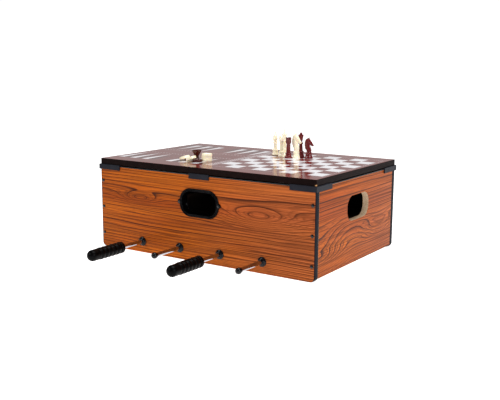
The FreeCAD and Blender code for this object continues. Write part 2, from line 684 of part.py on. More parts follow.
# Label: shape, base, height, place on the board, and the way it faces in degrees from +X.
CHESSMEN = {
    "bishop_ivory": (bishop, "slim_base", "bishop_tall", "20.6", "92.8", 0),
    "king_ivory": (king, "mid_base", "king_tall", "40.4", "104.7", 30),
    "rook_ivory": (rook, "slim_base", "rook_tall", "44.9", "83.2", 20),
    "rook_red": (rook, "mid_base", "rook_tall", "75", "66.4", 40),
    "knight_ivory": (knight, "mid_base", "knight_tall", "91.1", "77.4", -12),
    "queen_red": (queen, "mid_base", "queen_tall", "92.7", "96.6", 0),
    "knight_red": (knight, "wide_base", "knight_small", "120.5", "87.5", 0),
}
# Label: place and height of the underside above the board, and its lean in degrees about Y.
# draught_ivory_4 leans on draught_dark_2, and draught_ivory_5 leans on draught_ivory_4.
DRAUGHTS = {
    "draught_ivory_1": ("-54.6", "-95.6", "0", 0),
    "draught_ivory_2": ("-56.1", "-94.6", "draught_thick", 0),
    "draught_ivory_3": ("-53.9", "-96.3", "2 * draught_thick", 0),
    "draught_dark_1": ("-109.8", "-91.5", "0", 0),
    "draught_dark_2": ("-64.3", "-121", "0", 0),
    "draught_ivory_4": ("-82", "-121", "4.5", -19.47),
    "draught_ivory_5": ("-101.5", "-120.5", "4.5", -18.6),
}


def board():
    """The reversible games board: a flat slab with eased edges."""
    half_x, half_y = "box_length / 2", "box_depth / 2"
    outline = rectangle(f"-{half_x}", f"-{half_y}", half_x, half_y)
    slab = padded("game_board", "XY_Plane", outline, "board_thick")
    eased(slab, "board_corner", lambda edge: abs(edge.Vertexes[0].Z - edge.Vertexes[1].Z) > 1)
    eased(slab, "board_ease", lambda edge: abs(edge.BoundBox.ZMax - edge.BoundBox.ZMin) < 0.01)
    return keep("game_board", place(slab, z="board_low"))


def playing_pieces():
    """The loose pieces, as they stand on the board."""
    for label, (shape, base, tall, x, y, facing) in CHESSMEN.items():
        turn = FreeCAD.Rotation(FreeCAD.Vector(0, 0, 1), facing)
        keep(label, place(shape(label, base, tall), x, y, BOARD_TOP, turn))
    for label, (x, y, rise, lean) in DRAUGHTS.items():
        turn = FreeCAD.Rotation(FreeCAD.Vector(0, 1, 0), lean)
        keep(label, place(draught(label), x, y, f"{BOARD_TOP} + {rise}", turn))
    keep("dice_cup", place(cup("dice_cup"), "-84.8", "-95.9", BOARD_TOP))


# ---- the whole box

def build():
    """Makes every sub-part."""
    for label, facing in (("front", -1), ("back", 1)):
        long_panel(f"{label}_panel", facing)
        middle_clip(f"middle_clip_{label}", facing)
        port_ring(f"port_ring_{label}", facing)
        for side_label, side in (("left", -1), ("right", 1)):
            corner_clip(f"corner_clip_{label}_{side_label}", side, facing)
    side_panel("left_panel", -1)
    side_panel("right_panel", 1)
    pitch()
    end_strips()
    rim_trims()
    caps = [(f"{side} * {CAP_X}", rise) for side in (-1, 1) for rise in CAP_RISES]
    screw_group("cap_screws", caps, "box_depth / 2", "cap_head", "cap_rise", "cap_shank", "cap_length")
    screw_group("ring_screws", [(x, "port_rise") for x in EARS], "box_depth / 2 + ring_thick",
                "ring_screw_head", "0.5 * ring_screw_head", "ring_screw_shank", "ring_screw_length")
    bushings()
    for index, facing, columns in ((1, -1, (0,)), (2, 1, (-1, 0, 1)), (3, -1, (-1, 0, 1)), (4, 1, (0,))):
        rod_set(index, ROD_PLACES[index], facing, columns)
    board()
    playing_pieces()


def check():
    """Stops if an object failed to build or a sub-part's shape is bad."""
    doc.recompute()
    failed = [item.Label for item in doc.Objects if {"Invalid", "Error"} & set(item.State)]
    failed += [label for label, piece in nodes.items() if piece.Shape.isNull() or not piece.Shape.isValid()]
    if failed:
        sys.exit("not built: " + ", ".join(failed))


def write():
    """Writes one STEP file per sub-part."""
    os.makedirs("parts", exist_ok=True)
    for label, piece in nodes.items():
        piece.Shape.exportStep(f"parts/{label}.step")
        box = piece.Shape.BoundBox
        print(f"{label}: {len(piece.Shape.Solids)} solid(s), {piece.Shape.Volume / 1000:.1f} cm3,"
              f" z {box.ZMin:.1f} to {box.ZMax:.1f}")
    print(len(nodes), "sub-parts")


build()
check()
write()
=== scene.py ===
"""Looks for a table-top games box.

A football box stands with its rods low, and a chess and backgammon board lies on it as a lid.
"""

import logging
import math
from collections.abc import Sequence
from dataclasses import dataclass, field
from enum import Enum

import bmesh
import bpy
from mathutils import Euler, Matrix, Vector


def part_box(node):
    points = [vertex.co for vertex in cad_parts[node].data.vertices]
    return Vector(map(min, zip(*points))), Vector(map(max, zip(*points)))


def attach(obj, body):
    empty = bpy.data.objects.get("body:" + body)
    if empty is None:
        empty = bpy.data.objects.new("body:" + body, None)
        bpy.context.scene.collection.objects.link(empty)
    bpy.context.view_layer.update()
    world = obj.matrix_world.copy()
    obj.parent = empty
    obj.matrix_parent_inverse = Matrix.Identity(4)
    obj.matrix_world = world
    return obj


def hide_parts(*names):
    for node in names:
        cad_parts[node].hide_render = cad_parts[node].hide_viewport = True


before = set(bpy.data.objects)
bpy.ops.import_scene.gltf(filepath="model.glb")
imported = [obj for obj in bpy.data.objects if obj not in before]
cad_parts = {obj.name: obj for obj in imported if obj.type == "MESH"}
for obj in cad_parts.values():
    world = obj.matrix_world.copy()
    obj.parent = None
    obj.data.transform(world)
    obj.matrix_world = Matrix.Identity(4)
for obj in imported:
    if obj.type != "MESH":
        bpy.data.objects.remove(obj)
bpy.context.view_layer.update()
MM = 0.001
# height of the dark band painted round the bottom of the bishop's foot
FOOT_BAND_HEIGHT = 2.2 * MM
log = logging.getLogger("games_box")

Point = tuple[float, float]
Loop = list[Point]


# ---- names the whole script shares

class Slot(str, Enum):
    """The record's material slots, by name."""

    FOIL = "wood_grain_board"
    PRINT = "printed_board"
    BLACK = "black_plastic"
    IVORY = "ivory_plastic"
    RED = "red_plastic"


class Grain(Enum):
    """The axis that a panel's wood grain runs along."""

    LENGTHWAYS = "x"
    CROSSWAYS = "y"


class Side(Enum):
    """A side of the box, by the word that its nodes' names use."""

    FRONT = "front"
    BACK = "back"
    LEFT = "left"
    RIGHT = "right"

    @property
    def facing(self) -> int:
        """The way the side looks along its axis: 1 or -1."""
        return 1 if self in (Side.BACK, Side.RIGHT) else -1


# ---- colours and nodes

def linear(colour: str) -> tuple[float, float, float, float]:
    """Turns an sRGB hex colour into the linear one that a shader takes.

    Args:
        colour: six hex digits, such as "C86E32".

    Returns:
        Linear red, green and blue, and an alpha of 1.
    """
    parts = [int(colour[i:i + 2], 16) / 255 for i in (0, 2, 4)]
    channels = [part / 12.92 if part <= 0.04045 else ((part + 0.055) / 1.055) ** 2.4 for part in parts]
    return channels[0], channels[1], channels[2], 1.0


def add_node(tree: bpy.types.NodeTree, kind: str, inputs: dict | None = None, output: int | str = 0,
             **settings: object) -> bpy.types.NodeSocket:
    """Adds one node with its settings and its links.

    Args:
        tree: the node tree that takes it.
        kind: the node's Blender type.
        inputs: for each input, by name or number, a value, or a socket or Field to link.
        output: the output wanted, by name or number.
        **settings: the node's own properties.

    Returns:
        The output socket.
    """
    node = tree.nodes.new(kind)
    for name, value in settings.items():
        setattr(node, name, value)
    for name, value in (inputs or {}).items():
        source = value.socket if isinstance(value, Field) else value
        if isinstance(source, bpy.types.NodeSocket):
            tree.links.new(source, node.inputs[name])
        else:
            node.inputs[name].default_value = source
    return node.outputs[output]


@dataclass(frozen=True)
class Field:
    """A number that varies over a surface, with ordinary arithmetic."""

    tree: bpy.types.NodeTree
    socket: bpy.types.NodeSocket

    def math(self, operation: str, *others: "Field | float") -> "Field":
        """This field and others put through one Math operation."""
        inputs = dict(enumerate((self, *others)))
        return Field(self.tree, add_node(self.tree, "ShaderNodeMath", inputs, operation=operation))

    def __add__(self, other: "Field | float") -> "Field":
        """Sum."""
        return self.math("ADD", other)

    def __sub__(self, other: "Field | float") -> "Field":
        """Difference."""
        return self.math("SUBTRACT", other)

    def __mul__(self, other: "Field | float") -> "Field":
        """Product."""
        return self.math("MULTIPLY", other)

    def __truediv__(self, other: "Field | float") -> "Field":
        """Quotient."""
        return self.math("DIVIDE", other)

    def __abs__(self) -> "Field":
        """Size without its sign."""
        return self.math("ABSOLUTE")

    def inverse(self) -> "Field":
        """One less this field: the rest of a share."""
        return self * -1.0 + 1.0

    def rise(self, low: float, high: float, start: float = 0.0, end: float = 1.0) -> "Field":
        """Goes smoothly from start at low to end at high, and stays there.

        Args:
            low: where the rise begins.
            high: where it ends. It may be under low.
            start: the value before it.
            end: the value after it.

        Returns:
            The new field.
        """
        inputs = {0: self, 1: low, 2: high, 3: start, 4: end}
        return Field(self.tree, add_node(
            self.tree, "ShaderNodeMapRange", inputs, interpolation_type="SMOOTHSTEP"))

    def within(self, low: float, high: float, soft: float) -> "Field":
        """1 between two values and 0 outside them, with soft edges of that width."""
        return self.rise(low - soft, low + soft) * self.rise(high + soft, high - soft)


@dataclass
class Pattern:
    """One material's node tree, with the piece's own coordinates in metres."""

    tree: bpy.types.NodeTree

    def __post_init__(self) -> None:
        """Fetches the coordinates."""
        place = add_node(self.tree, "ShaderNodeTexCoord", output="Object")
        split = add_node(self.tree, "ShaderNodeSeparateXYZ", {0: place}).node
        self.space = tuple(Field(self.tree, socket) for socket in split.outputs)
        self.x, self.y, self.z = self.space
        facing = add_node(self.tree, "ShaderNodeNewGeometry", output="Normal")
        split = add_node(self.tree, "ShaderNodeSeparateXYZ", {0: facing}).node
        self.facing = [Field(self.tree, socket) for socket in split.outputs]

    def cloud(self, across: Sequence[Field], per_metre: Sequence[float], detail: float = 2.0,
              warp: float = 0.0, seed: float = 0.0) -> Field:
        """Smooth noise from 0 to 1, with its own pitch along each of up to three directions.

        Args:
            across: the coordinates it varies over.
            per_metre: how many features a metre holds along each of them.
            detail: octaves of finer detail.
            warp: how much the noise bends itself.
            seed: shifts the pattern, so that no two pieces match.

        Returns:
            The noise.
        """
        parts = {i: spot * pitch + seed * (i + 1) for i, (spot, pitch) in enumerate(zip(across, per_metre))}
        vector = add_node(self.tree, "ShaderNodeCombineXYZ", parts)
        inputs = {"Vector": vector, "Scale": 1.0, "Detail": detail, "Distortion": warp}
        return Field(self.tree, add_node(self.tree, "ShaderNodeTexNoise", inputs, output=0))

    def mist(self, per_metre: float, detail: float = 2.0, warp: float = 0.0, seed: float = 0.0) -> Field:
        """Smooth noise from 0 to 1 with one pitch in all three directions."""
        return self.cloud(self.space, (per_metre,) * 3, detail, warp, seed)

    def blend(self, share: Field, first: "Field | str", second: "Field | str") -> Field:
        """The colour that goes from first at share 0 to second at share 1; hex colours or fields.

        Args:
            share: how far the colour is from first to second.
            first: the colour at share 0.
            second: the colour at share 1.

        Returns:
            The colour.
        """
        ends = [linear(end) if isinstance(end, str) else end for end in (first, second)]
        inputs = {0: share, 6: ends[0], 7: ends[1]}
        return Field(self.tree, add_node(
            self.tree, "ShaderNodeMix", inputs, output=2, data_type="RGBA", clamp_factor=True))

    def bump(self, height: Field, depth: float, strength: float = 1.0) -> Field:
        """The surface normal bent by a height field whose full range is depth metres."""
        inputs = {"Height": height, "Distance": depth, "Strength": strength}
        return Field(self.tree, add_node(self.tree, "ShaderNodeBump", inputs))


# ---- finishes

@dataclass(frozen=True)
class Finish:
    """A material. Each kind of finish says how it is coloured in paint()."""

    name: str

    def make(self) -> bpy.types.Material:
        """Makes the Blender material.

        Returns:
            The material.
        """
        material = bpy.data.materials.new(self.name)
        material.use_nodes = True
        tree = material.node_tree
        tree.nodes.clear()
        sockets = self.paint(Pattern(tree))
        surface = add_node(tree, "ShaderNodeBsdfPrincipled", sockets)
        output = tree.nodes.new("ShaderNodeOutputMaterial")
        tree.links.new(surface, output.inputs["Surface"])
        return material

    def paint(self, at: Pattern) -> dict:
        """The Principled shader's inputs, by name."""
        raise NotImplementedError


@dataclass(frozen=True)
class Figure:
    """Where a board's growth rings close into an oval: its middle, its half sizes and its extra rings."""

    along: float
    up: float
    half_length: float
    half_height: float
    rings: float


@dataclass(frozen=True)
class WoodFoil(Finish):
    """Paper foil printed with wood grain under a satin lacquer: the box's warm orange-brown panels.

    The rings are contours of height plus an oval hump for each figure, so they bend round it.
    """

    grain: Grain = Grain.LENGTHWAYS
    figures: tuple[Figure, ...] = ()
    seed: float = 0.0
    ring_pitch: float = 9.0 * MM
    light: str = "CA6610"
    middle: str = "A44606"
    # painted sheen: a pinker tone that stands in for light reflected off the lacquer
    painted_sheen: str = "BC663C"
    dark: str = "3A1603"
    shine: float = 0.08
    # Printed fibres about 2.3 mm apart, drawn coarser than real ones so that they show.
    fibre_per_metre: Point = (4.0, 430.0)
    pores_per_metre: Point = (60.0, 1500.0)  # pores about 17 mm long and 0.7 mm wide

    def rings(self, at: Pattern, along: Field) -> Field:
        """Counts growth rings up the board, with an oval hump for each figure.

        Args:
            at: the material's pattern.
            along: the coordinate that the grain runs along.

        Returns:
            The count, which goes up with height.
        """
        drift = at.cloud((along, at.z), (1.4, 4.0), detail=1, seed=self.seed)
        spacing = at.cloud((along, at.z), (0.5, 17.0), detail=1, seed=self.seed + 3)
        waver = at.cloud((along, at.z), (7.0, 40.0), detail=1, seed=self.seed + 6)
        count = (at.z / self.ring_pitch) + (drift - 0.5) * 3.4 + (spacing - 0.5) * 4.4 + (waver - 0.5) * 0.4
        for figure in self.figures:
            side = ((along - figure.along) / figure.half_length).math("POWER", 2.0)
            rise = ((at.z - figure.up) / figure.half_height).math("POWER", 2.0)
            count = count + ((side + rise) * -1.0).math("EXPONENT") * figure.rings
        return count

    def paint(self, at: Pattern) -> dict:
        """Tone bands, a painted sheen towards one end, growth rings with a dark late edge, finer lines
        between, fibres and pores.

        Args:
            at: the material's pattern.

        Returns:
            The shader's inputs, by name.
        """
        along = at.x if self.grain is Grain.LENGTHWAYS else at.y
        count = self.rings(at, along)
        share = count.math("FRACT")
        late = share.rise(0.74, 0.93) * share.rise(1.0, 0.965)
        soft = share.rise(0.15, 0.93) * share.rise(1.0, 0.95)
        uneven = at.cloud((along, at.z), (1.7, 24.0), detail=1, seed=self.seed + 7)
        between = at.cloud((along, at.z), (2.2, 85.0), detail=2, seed=self.seed + 4)
        fine_share = ((count * 2.1) + between * 3.4).math("FRACT")
        fine = fine_share.rise(0.45, 0.84) * fine_share.rise(1.0, 0.9)
        fibre = at.cloud((along, at.z), self.fibre_per_metre, detail=3, seed=self.seed + 1)
        pores = at.cloud((along, at.z), self.pores_per_metre, detail=1, seed=self.seed + 2).rise(0.6, 0.72)
        broad = at.cloud((along, at.z), (1.2, 12.0), detail=2, warp=0.2, seed=self.seed + 5)
        lower = at.z.rise(0.125, 0.075, 0.62, 1.0)
        colour = at.blend(broad.rise(0.32, 0.68), self.middle, self.light)
        # painted sheen: up to 0.55 of the way to the pink tone, rising along the grain from -0.1 m to 0.28
        # m
        colour = at.blend(along.rise(-0.1, 0.28) * 0.55, colour, self.painted_sheen)
        colour = at.blend(fibre.rise(0.42, 0.62, 0.0, 0.5), colour, self.dark)
        colour = at.blend(fine * between.rise(0.3, 0.62, 0.26, 0.66) * lower, colour, self.dark)
        colour = at.blend(soft * uneven.rise(0.3, 0.65, 0.16, 0.44) * lower, colour, self.dark)
        colour = at.blend(late * uneven.rise(0.3, 0.56, 0.4, 0.95), colour, self.dark)
        colour = at.blend(pores * 0.35, colour, self.dark)
        relief = fibre * 0.6 + late * -0.3 + pores * -0.5
        return {
            "Base Color": colour, "Roughness": fibre.rise(0.2, 0.8, 0.36, 0.5), "IOR": 1.5,
            "Specular IOR Level": self.shine, "Normal": at.bump(relief, 0.05 * MM, 0.35),
        }


@dataclass(frozen=True)
class CutFibreboard(Finish):
    """Sawn fibreboard left bare: pale tan fuzz with darker fibres, where a hand opening is cut."""

    light: str = "E4CBAC"
    dark: str = "9C7E5E"
    fibre_per_metre: float = 900.0  # matted fibres, about 1.1 mm
    patch_per_metre: float = 60.0

    def paint(self, at: Pattern) -> dict:
        """Matted fibres, with darker patches among them.

        Args:
            at: the material's pattern.

        Returns:
            The shader's inputs, by name.
        """
        fibre = at.mist(self.fibre_per_metre, detail=4)
        patch = at.mist(self.patch_per_metre, detail=2, seed=4)
        colour = at.blend(fibre.rise(0.3, 0.75), self.light, self.dark)
        colour = at.blend(patch.rise(0.45, 0.75, 0.0, 0.35), colour, self.dark)
        return {"Base Color": colour, "Roughness": fibre.rise(0.2, 0.8, 0.82, 0.97),
                "Normal": at.bump(fibre, 0.25 * MM, 0.6)}


@dataclass(frozen=True)
class PaintedLiner(Finish):
    """Black paint rolled thinly on board: a dull inside face with a fine stipple."""

    colour: str = "0E0C0D"
    worn: str = "2A2422"
    stipple_per_metre: float = 420.0  # roller stipple, about 2.4 mm
    patch_per_metre: float = 14.0

    def paint(self, at: Pattern) -> dict:
        """Roller stipple with slightly thinner patches.

        Args:
            at: the material's pattern.

        Returns:
            The shader's inputs, by name.
        """
        stipple = at.mist(self.stipple_per_metre, detail=2)
        patch = at.mist(self.patch_per_metre, detail=3, seed=2)
        colour = at.blend(patch.rise(0.4, 0.8) * 0.6, self.colour, self.worn)
        return {"Base Color": colour, "Roughness": stipple.rise(0.2, 0.8, 0.6, 0.78),
                "Specular IOR Level": 0.12,
                "Normal": at.bump(stipple, 0.08 * MM, 0.5)}


@dataclass(frozen=True)
class MouldedPlastic(Finish):
    """Injection-moulded plastic: one dye all through, with the mould's texture and faint flow marks."""

    colour: str = "17181C"
    rubbed: str = "33353B"
    roughness: tuple[float, float] = (0.24, 0.38)
    texture_per_metre: float = 2600.0  # spark-eroded mould grain, about 0.4 mm
    texture_depth: float = 0.03 * MM
    flow_per_metre: float = 26.0
    rub: float = 0.35
    scatter: float = 0.0
    glow: float = 0.0  # painted glow: emission that makes a translucent plastic look lit from within, though it is no lamp
    shine: float = 0.5

    def paint(self, at: Pattern) -> dict:
        """Mould grain as bump, flow marks in the colour, handling marks in the gloss, and a painted glow on
        translucent plastic.

        Args:
            at: the material's pattern.

        Returns:
            The shader's inputs, by name.
        """
        grain = at.mist(self.texture_per_metre, detail=1)
        flow = at.mist(self.flow_per_metre, detail=3, warp=0.6, seed=3)
        marks = at.mist(self.flow_per_metre * 7, detail=3, seed=9)
        colour = at.blend(flow.rise(0.35, 0.75) * self.rub, self.colour, self.rubbed)
        sockets = {
            "Base Color": colour, "IOR": 1.5, "Specular IOR Level": self.shine,
            "Roughness": marks.rise(0.25, 0.75, *self.roughness),
            "Normal": at.bump(grain, self.texture_depth, 0.5),
        }
        # translucent plastic: subsurface scatter, and a painted glow that emits the rubbed tone
        if self.scatter:
            sockets |= {"Subsurface Weight": self.scatter, "Subsurface Scale": 3 * MM,
                        "Subsurface Radius": (1.0, 0.7, 0.4), "Emission Color": linear(self.rubbed),
                        "Emission Strength": self.glow}
        return sockets


@dataclass(frozen=True)
class ChromePlate(Finish):
    """Chrome plate on drawn steel tube: a mirror with a cold tint and fine polishing lines round it."""

    colour: str = "B4B7BE"
    dull: str = "8D8F95"
    lines_per_metre: float = 5200.0  # polishing lines, about 0.2 mm

    def paint(self, at: Pattern) -> dict:
        """Polishing lines round the tube, and faint fingerprints that dull the mirror.

        Args:
            at: the material's pattern.

        Returns:
            The shader's inputs, by name.
        """
        lines = at.cloud((at.y,), (self.lines_per_metre,), detail=2)
        prints = at.cloud(at.space, (55.0, 38.0, 55.0), detail=3, seed=5)
        colour = at.blend(prints.rise(0.45, 0.8), self.colour, self.dull)
        return {"Base Color": colour, "Metallic": 1.0,
                "Roughness": (lines * 0.05) + prints.rise(0.35, 0.8, 0.06, 0.2),
                "Normal": at.bump(lines, 0.006 * MM, 0.3)}


@dataclass(frozen=True)
class PrintedLaminate(Finish):
    """A printed sheet under glossy laminate: half chess squares, half backgammon points."""

    ground: str = "84322A"
    deep: str = "481814"
    pale: str = "FAF8FC"
    margin: float = 48 * MM
    chess_start: float = 1 * MM
    chess_square: Point = (35.75 * MM, 38 * MM)
    tables: tuple[float, float] = (-288 * MM, -138.5 * MM)
    point_width: float = 18.75 * MM
    point_height: float = 107 * MM
    half_depth: float = 150 * MM
    line: float = 0.8 * MM
    ink_per_metre: float = 2400.0  # printed rosettes, about 0.4 mm

    def squares(self, at: Pattern) -> Field:
        """Where the chess half is pale.

        Args:
            at: the material's pattern.

        Returns:
            1 on the pale squares.
        """
        width, depth = self.chess_square
        column = ((at.x - self.chess_start) / width).math("FLOOR")
        row = ((at.y + 4 * depth) / depth).math("FLOOR")
        odd = (column + row).math("FLOORED_MODULO", 2.0)
        inside = at.x.within(self.chess_start, self.chess_start + 8 * width, 0.05 * MM)
        inside = inside * abs(at.y).rise(4 * depth + 0.05 * MM, 4 * depth - 0.05 * MM)
        return odd * inside

    def edging(self, at: Pattern) -> Field:
        """Thin pale lines that frame the chess half.

        Args:
            at: the material's pattern.

        Returns:
            1 on the lines.
        """
        width, depth = self.chess_square
        middle = self.chess_start + 4 * width
        out_x, out_y = abs(at.x - middle) - 4 * width, abs(at.y) - 4 * depth
        distance = out_x.math("MAXIMUM", out_y)
        return distance.within(1.5 * MM, 1.5 * MM + self.line, 0.1 * MM)

    def points(self, at: Pattern) -> tuple[Field, Field]:
        """Where the backgammon half is pale, and where it is deep.

        Args:
            at: the material's pattern.

        Returns:
            The share of pale point and the share of deep point.
        """
        pale = deep = None
        for table in self.tables:
            across = (at.x - table) / self.point_width
            inside = across.within(0.0, 6.0, 0.003)
            peak = abs((across.math("FRACT") * 2.0) - 1.0).inverse()
            up = (abs(at.y) * -1.0 + self.half_depth) / self.point_height
            shape = (peak - up).rise(-0.01, 0.01) * up.rise(-0.002, 0.002) * inside
            top = at.y.rise(-0.1 * MM, 0.1 * MM)
            odd = (across.math("FLOOR") + top.math("ROUND")).math("FLOORED_MODULO", 2.0)
            pale = shape * odd.inverse() if pale is None else pale + shape * odd.inverse()
            deep = shape * odd if deep is None else deep + shape * odd
        return pale, deep

    def ornament(self, at: Pattern) -> Field:
        """Rows of dots between the points, and a lattice band beside the bar.

        Args:
            at: the material's pattern.

        Returns:
            1 on the dots and the lattice.
        """
        step = self.point_width / 2
        dot_x = abs((at.x / step).math("FRACT") - 0.5)
        dot_y = abs(abs(at.y) - 32 * MM) / step
        dots = (dot_x * dot_x + dot_y * dot_y).math("SQRT").rise(0.24, 0.18)
        dots = dots * at.x.within(self.tables[0], self.tables[1] + 6 * self.point_width, 0.2 * MM)
        weave_x = abs((at.x / (6 * MM)).math("FRACT") - 0.5)
        weave_y = abs((at.y / (6 * MM)).math("FRACT") - 0.5)
        lattice = abs(weave_x + weave_y - 0.5).rise(0.13, 0.08)
        lattice = lattice * at.x.within(-21 * MM, -3 * MM, 0.2 * MM)
        lattice = lattice * abs(at.y).rise(self.half_depth + 0.2 * MM, self.half_depth)
        return dots.math("MAXIMUM", lattice)

    def paint(self, at: Pattern) -> dict:
        """The print's inks with fine rosette noise, and the laminate's gloss over it all.

        Args:
            at: the material's pattern.

        Returns:
            The shader's inputs, by name.
        """
        ink = at.cloud((at.x, at.y), (self.ink_per_metre,) * 2, detail=1)
        tone = at.cloud((at.x, at.y), (7.0, 9.0), detail=3, seed=2)
        figure = at.cloud((at.x, at.y), (5.0, 260.0), detail=3, seed=6)
        pale_points, deep_points = self.points(at)
        ground = at.blend(figure.rise(0.35, 0.7) * 0.55, self.ground, self.deep)
        ground = at.blend(deep_points * 0.8, ground, self.deep)
        pale = self.squares(at).math("MAXIMUM", pale_points)
        pale = pale.math("MAXIMUM", self.edging(at)).math("MAXIMUM", self.ornament(at) * 0.8)
        colour = at.blend(pale, ground, self.pale)
        colour = at.blend(ink.rise(0.55, 0.8) * 0.1, colour, self.deep)
        ripple = at.cloud((at.x, at.y), (9.0, 9.0), detail=1, seed=8)
        return {
            "Base Color": colour, "Roughness": tone.rise(0.3, 0.7, 0.1, 0.16), "IOR": 1.5,
            "Normal": at.bump(ripple, 0.15 * MM, 0.25),
        }


@dataclass(frozen=True)
class EdgeBanding(Finish):
    """Dark plastic edging on the board's sides, with one corner chipped back to bare board."""

    colour: str = "120807"
    rubbed: str = "1E1210"
    bare: str = "B98A5C"
    chip: tuple[float, float, float] = (0.0, 0.0, 0.0)
    chip_radius: float = 4 * MM
    lines_per_metre: float = 1800.0  # drawn lines, about 0.6 mm

    def paint(self, at: Pattern) -> dict:
        """Drawn lines along the edging, and the chip's ragged outline.

        Args:
            at: the material's pattern.

        Returns:
            The shader's inputs, by name.
        """
        lines = at.cloud(at.space, (12.0, 12.0, self.lines_per_metre), detail=2)
        wear = at.mist(60.0, detail=3, seed=4)
        offsets = [spot - place for spot, place in zip(at.space, self.chip)]
        squared = [offset * offset for offset in offsets]
        distance = (squared[0] + squared[1] + squared[2]).math("SQRT")
        ragged = at.mist(700.0, detail=2, seed=7)
        bare = (distance + ragged * self.chip_radius).rise(1.5 * self.chip_radius, 1.4 * self.chip_radius)
        colour = at.blend(wear.rise(0.4, 0.8) * 0.5, self.colour, self.rubbed)
        colour = at.blend(bare, colour, self.bare)
        return {"Base Color": colour, "Roughness": lines.rise(0.2, 0.8, 0.34, 0.5),
                "Specular IOR Level": 0.025, "Normal": at.bump(lines, 0.02 * MM, 0.4)}


@dataclass(frozen=True)
class PitchBoard(Finish):
    """Thin hardboard: printed green with white markings below, plain brown pressed fibre above."""

    green: str = "1F6B34"
    mown: str = "2A7F3E"
    marking: str = "E8EDE6"
    fibre: str = "4A3222"
    deep_fibre: str = "2C1C12"
    line: float = 4 * MM
    circle: float = 50 * MM
    mown_width: float = 50 * MM
    fibre_per_metre: float = 900.0  # pressed fibres, about 1.1 mm

    def paint(self, at: Pattern) -> dict:
        """Mown stripes, a halfway line and a centre circle on the face that looks down.

        Args:
            at: the material's pattern.

        Returns:
            The shader's inputs, by name.
        """
        mesh = at.cloud((at.x, at.y), (self.fibre_per_metre,) * 2, detail=3)
        stripe = (at.x / self.mown_width).math("FLOOR").math("FLOORED_MODULO", 2.0)
        green = at.blend(stripe, self.green, self.mown)
        away = (at.x * at.x + at.y * at.y).math("SQRT") - self.circle
        marks = abs(at.x).rise(self.line / 2, self.line / 2 - 0.3 * MM)
        marks = marks.math("MAXIMUM", abs(away).rise(self.line / 2, self.line / 2 - 0.3 * MM))
        green = at.blend(marks, green, self.marking)
        brown = at.blend(mesh.rise(0.3, 0.7), self.fibre, self.deep_fibre)
        colour = at.blend(at.facing[2].rise(-0.5, -0.4), green, brown)
        return {"Base Color": colour, "Roughness": mesh.rise(0.2, 0.8, 0.5, 0.72),
                "Normal": at.bump(mesh, 0.06 * MM, 0.4)}


@dataclass(frozen=True)
class DarkBandFooted(MouldedPlastic):
    """A glossy moulded piece with a dark band painted round the bottom of its foot."""

    foot_band: str = "16140F"
    deep_foot_band: str = "2C2A22"
    foot_band_top: float = 0.0
    speckle_per_metre: float = 1500.0  # speckle in the dark band, about 0.7 mm

    def paint(self, at: Pattern) -> dict:
        """The moulding's own paint, with the dark band's colour below the band's top edge.

        Args:
            at: the material's pattern.

        Returns:
            The shader's inputs, by name.
        """
        sockets = super().paint(at)
        speckle = at.mist(self.speckle_per_metre, detail=2, seed=11)
        # a dark band painted round the bottom of the foot, below its top edge
        above = at.z.rise(self.foot_band_top - 0.1 * MM, self.foot_band_top + 0.1 * MM)
        band_colour = at.blend(speckle, self.foot_band, self.deep_foot_band)
        return sockets | {"Base Color": at.blend(above, band_colour, sockets["Base Color"])}


@dataclass(frozen=True)
class StudioPaper(Finish):
    """Matt white background paper, for the floor."""

    colour: str = "F4F4F4"
    glow: float = 0.86

    def paint(self, at: Pattern) -> dict:
        """Barely uneven white, lit from beneath as on a light table.

        Args:
            at: the material's pattern.

        Returns:
            The shader's inputs, by name.
        """
        tooth = at.cloud((at.x, at.y), (40.0, 40.0), detail=3)
        return {"Base Color": at.blend(tooth, self.colour, "F7F7F7"), "Roughness": 0.9,
                "Specular IOR Level": 0.0, "Emission Color": linear("FFFFFF"),
                "Emission Strength": self.glow}


# ---- meshes

def rounded_rectangle(length: float, height: float, radius: float, centre: Point = (0.0, 0.0),
                      steps: int = 12) -> Loop:
    """A round-cornered rectangle, anticlockwise.

    Args:
        length: its size across.
        height: its size up.
        radius: its corners' radius.
        centre: its middle.
        steps: segments in each corner.

    Returns:
        Its points.
    """
    points = []
    corners = ((1, -1, -90), (1, 1, 0), (-1, 1, 90), (-1, -1, 180))
    for side, end, start in corners:
        middle_x = centre[0] + side * (length / 2 - radius)
        middle_y = centre[1] + end * (height / 2 - radius)
        for step in range(steps + 1):
            angle = math.radians(start + 90 * step / steps)
            points.append((middle_x + radius * math.cos(angle), middle_y + radius * math.sin(angle)))
    return points


def round_hole(centre: Point, radius: float, steps: int = 32) -> Loop:
    """A circle's points, anticlockwise."""
    turns = [2 * math.pi * step / steps for step in range(steps)]
    return [(centre[0] + radius * math.cos(turn), centre[1] + radius * math.sin(turn)) for turn in turns]


def smooth(mesh: bpy.types.Mesh, sharp: float = 40.0) -> bpy.types.Mesh:
    """Shades a mesh smooth, but for edges that turn by more than sharp degrees.

    Args:
        mesh: the mesh to shade.
        sharp: the least turn, in degrees, that stays a sharp edge.

    Returns:
        The same mesh.
    """
    mesh.shade_smooth()
    mesh.set_sharp_from_angle(angle=math.radians(sharp))
    return mesh


def linked(name: str, data: bpy.types.ID) -> bpy.types.Object:
    """Makes an object of a mesh, curve, light or camera, and links it to the scene.

    Args:
        name: the object's name.
        data: what it holds.

    Returns:
        The new object.
    """
    made = bpy.data.objects.new(name, data)
    bpy.context.scene.collection.objects.link(made)
    return made


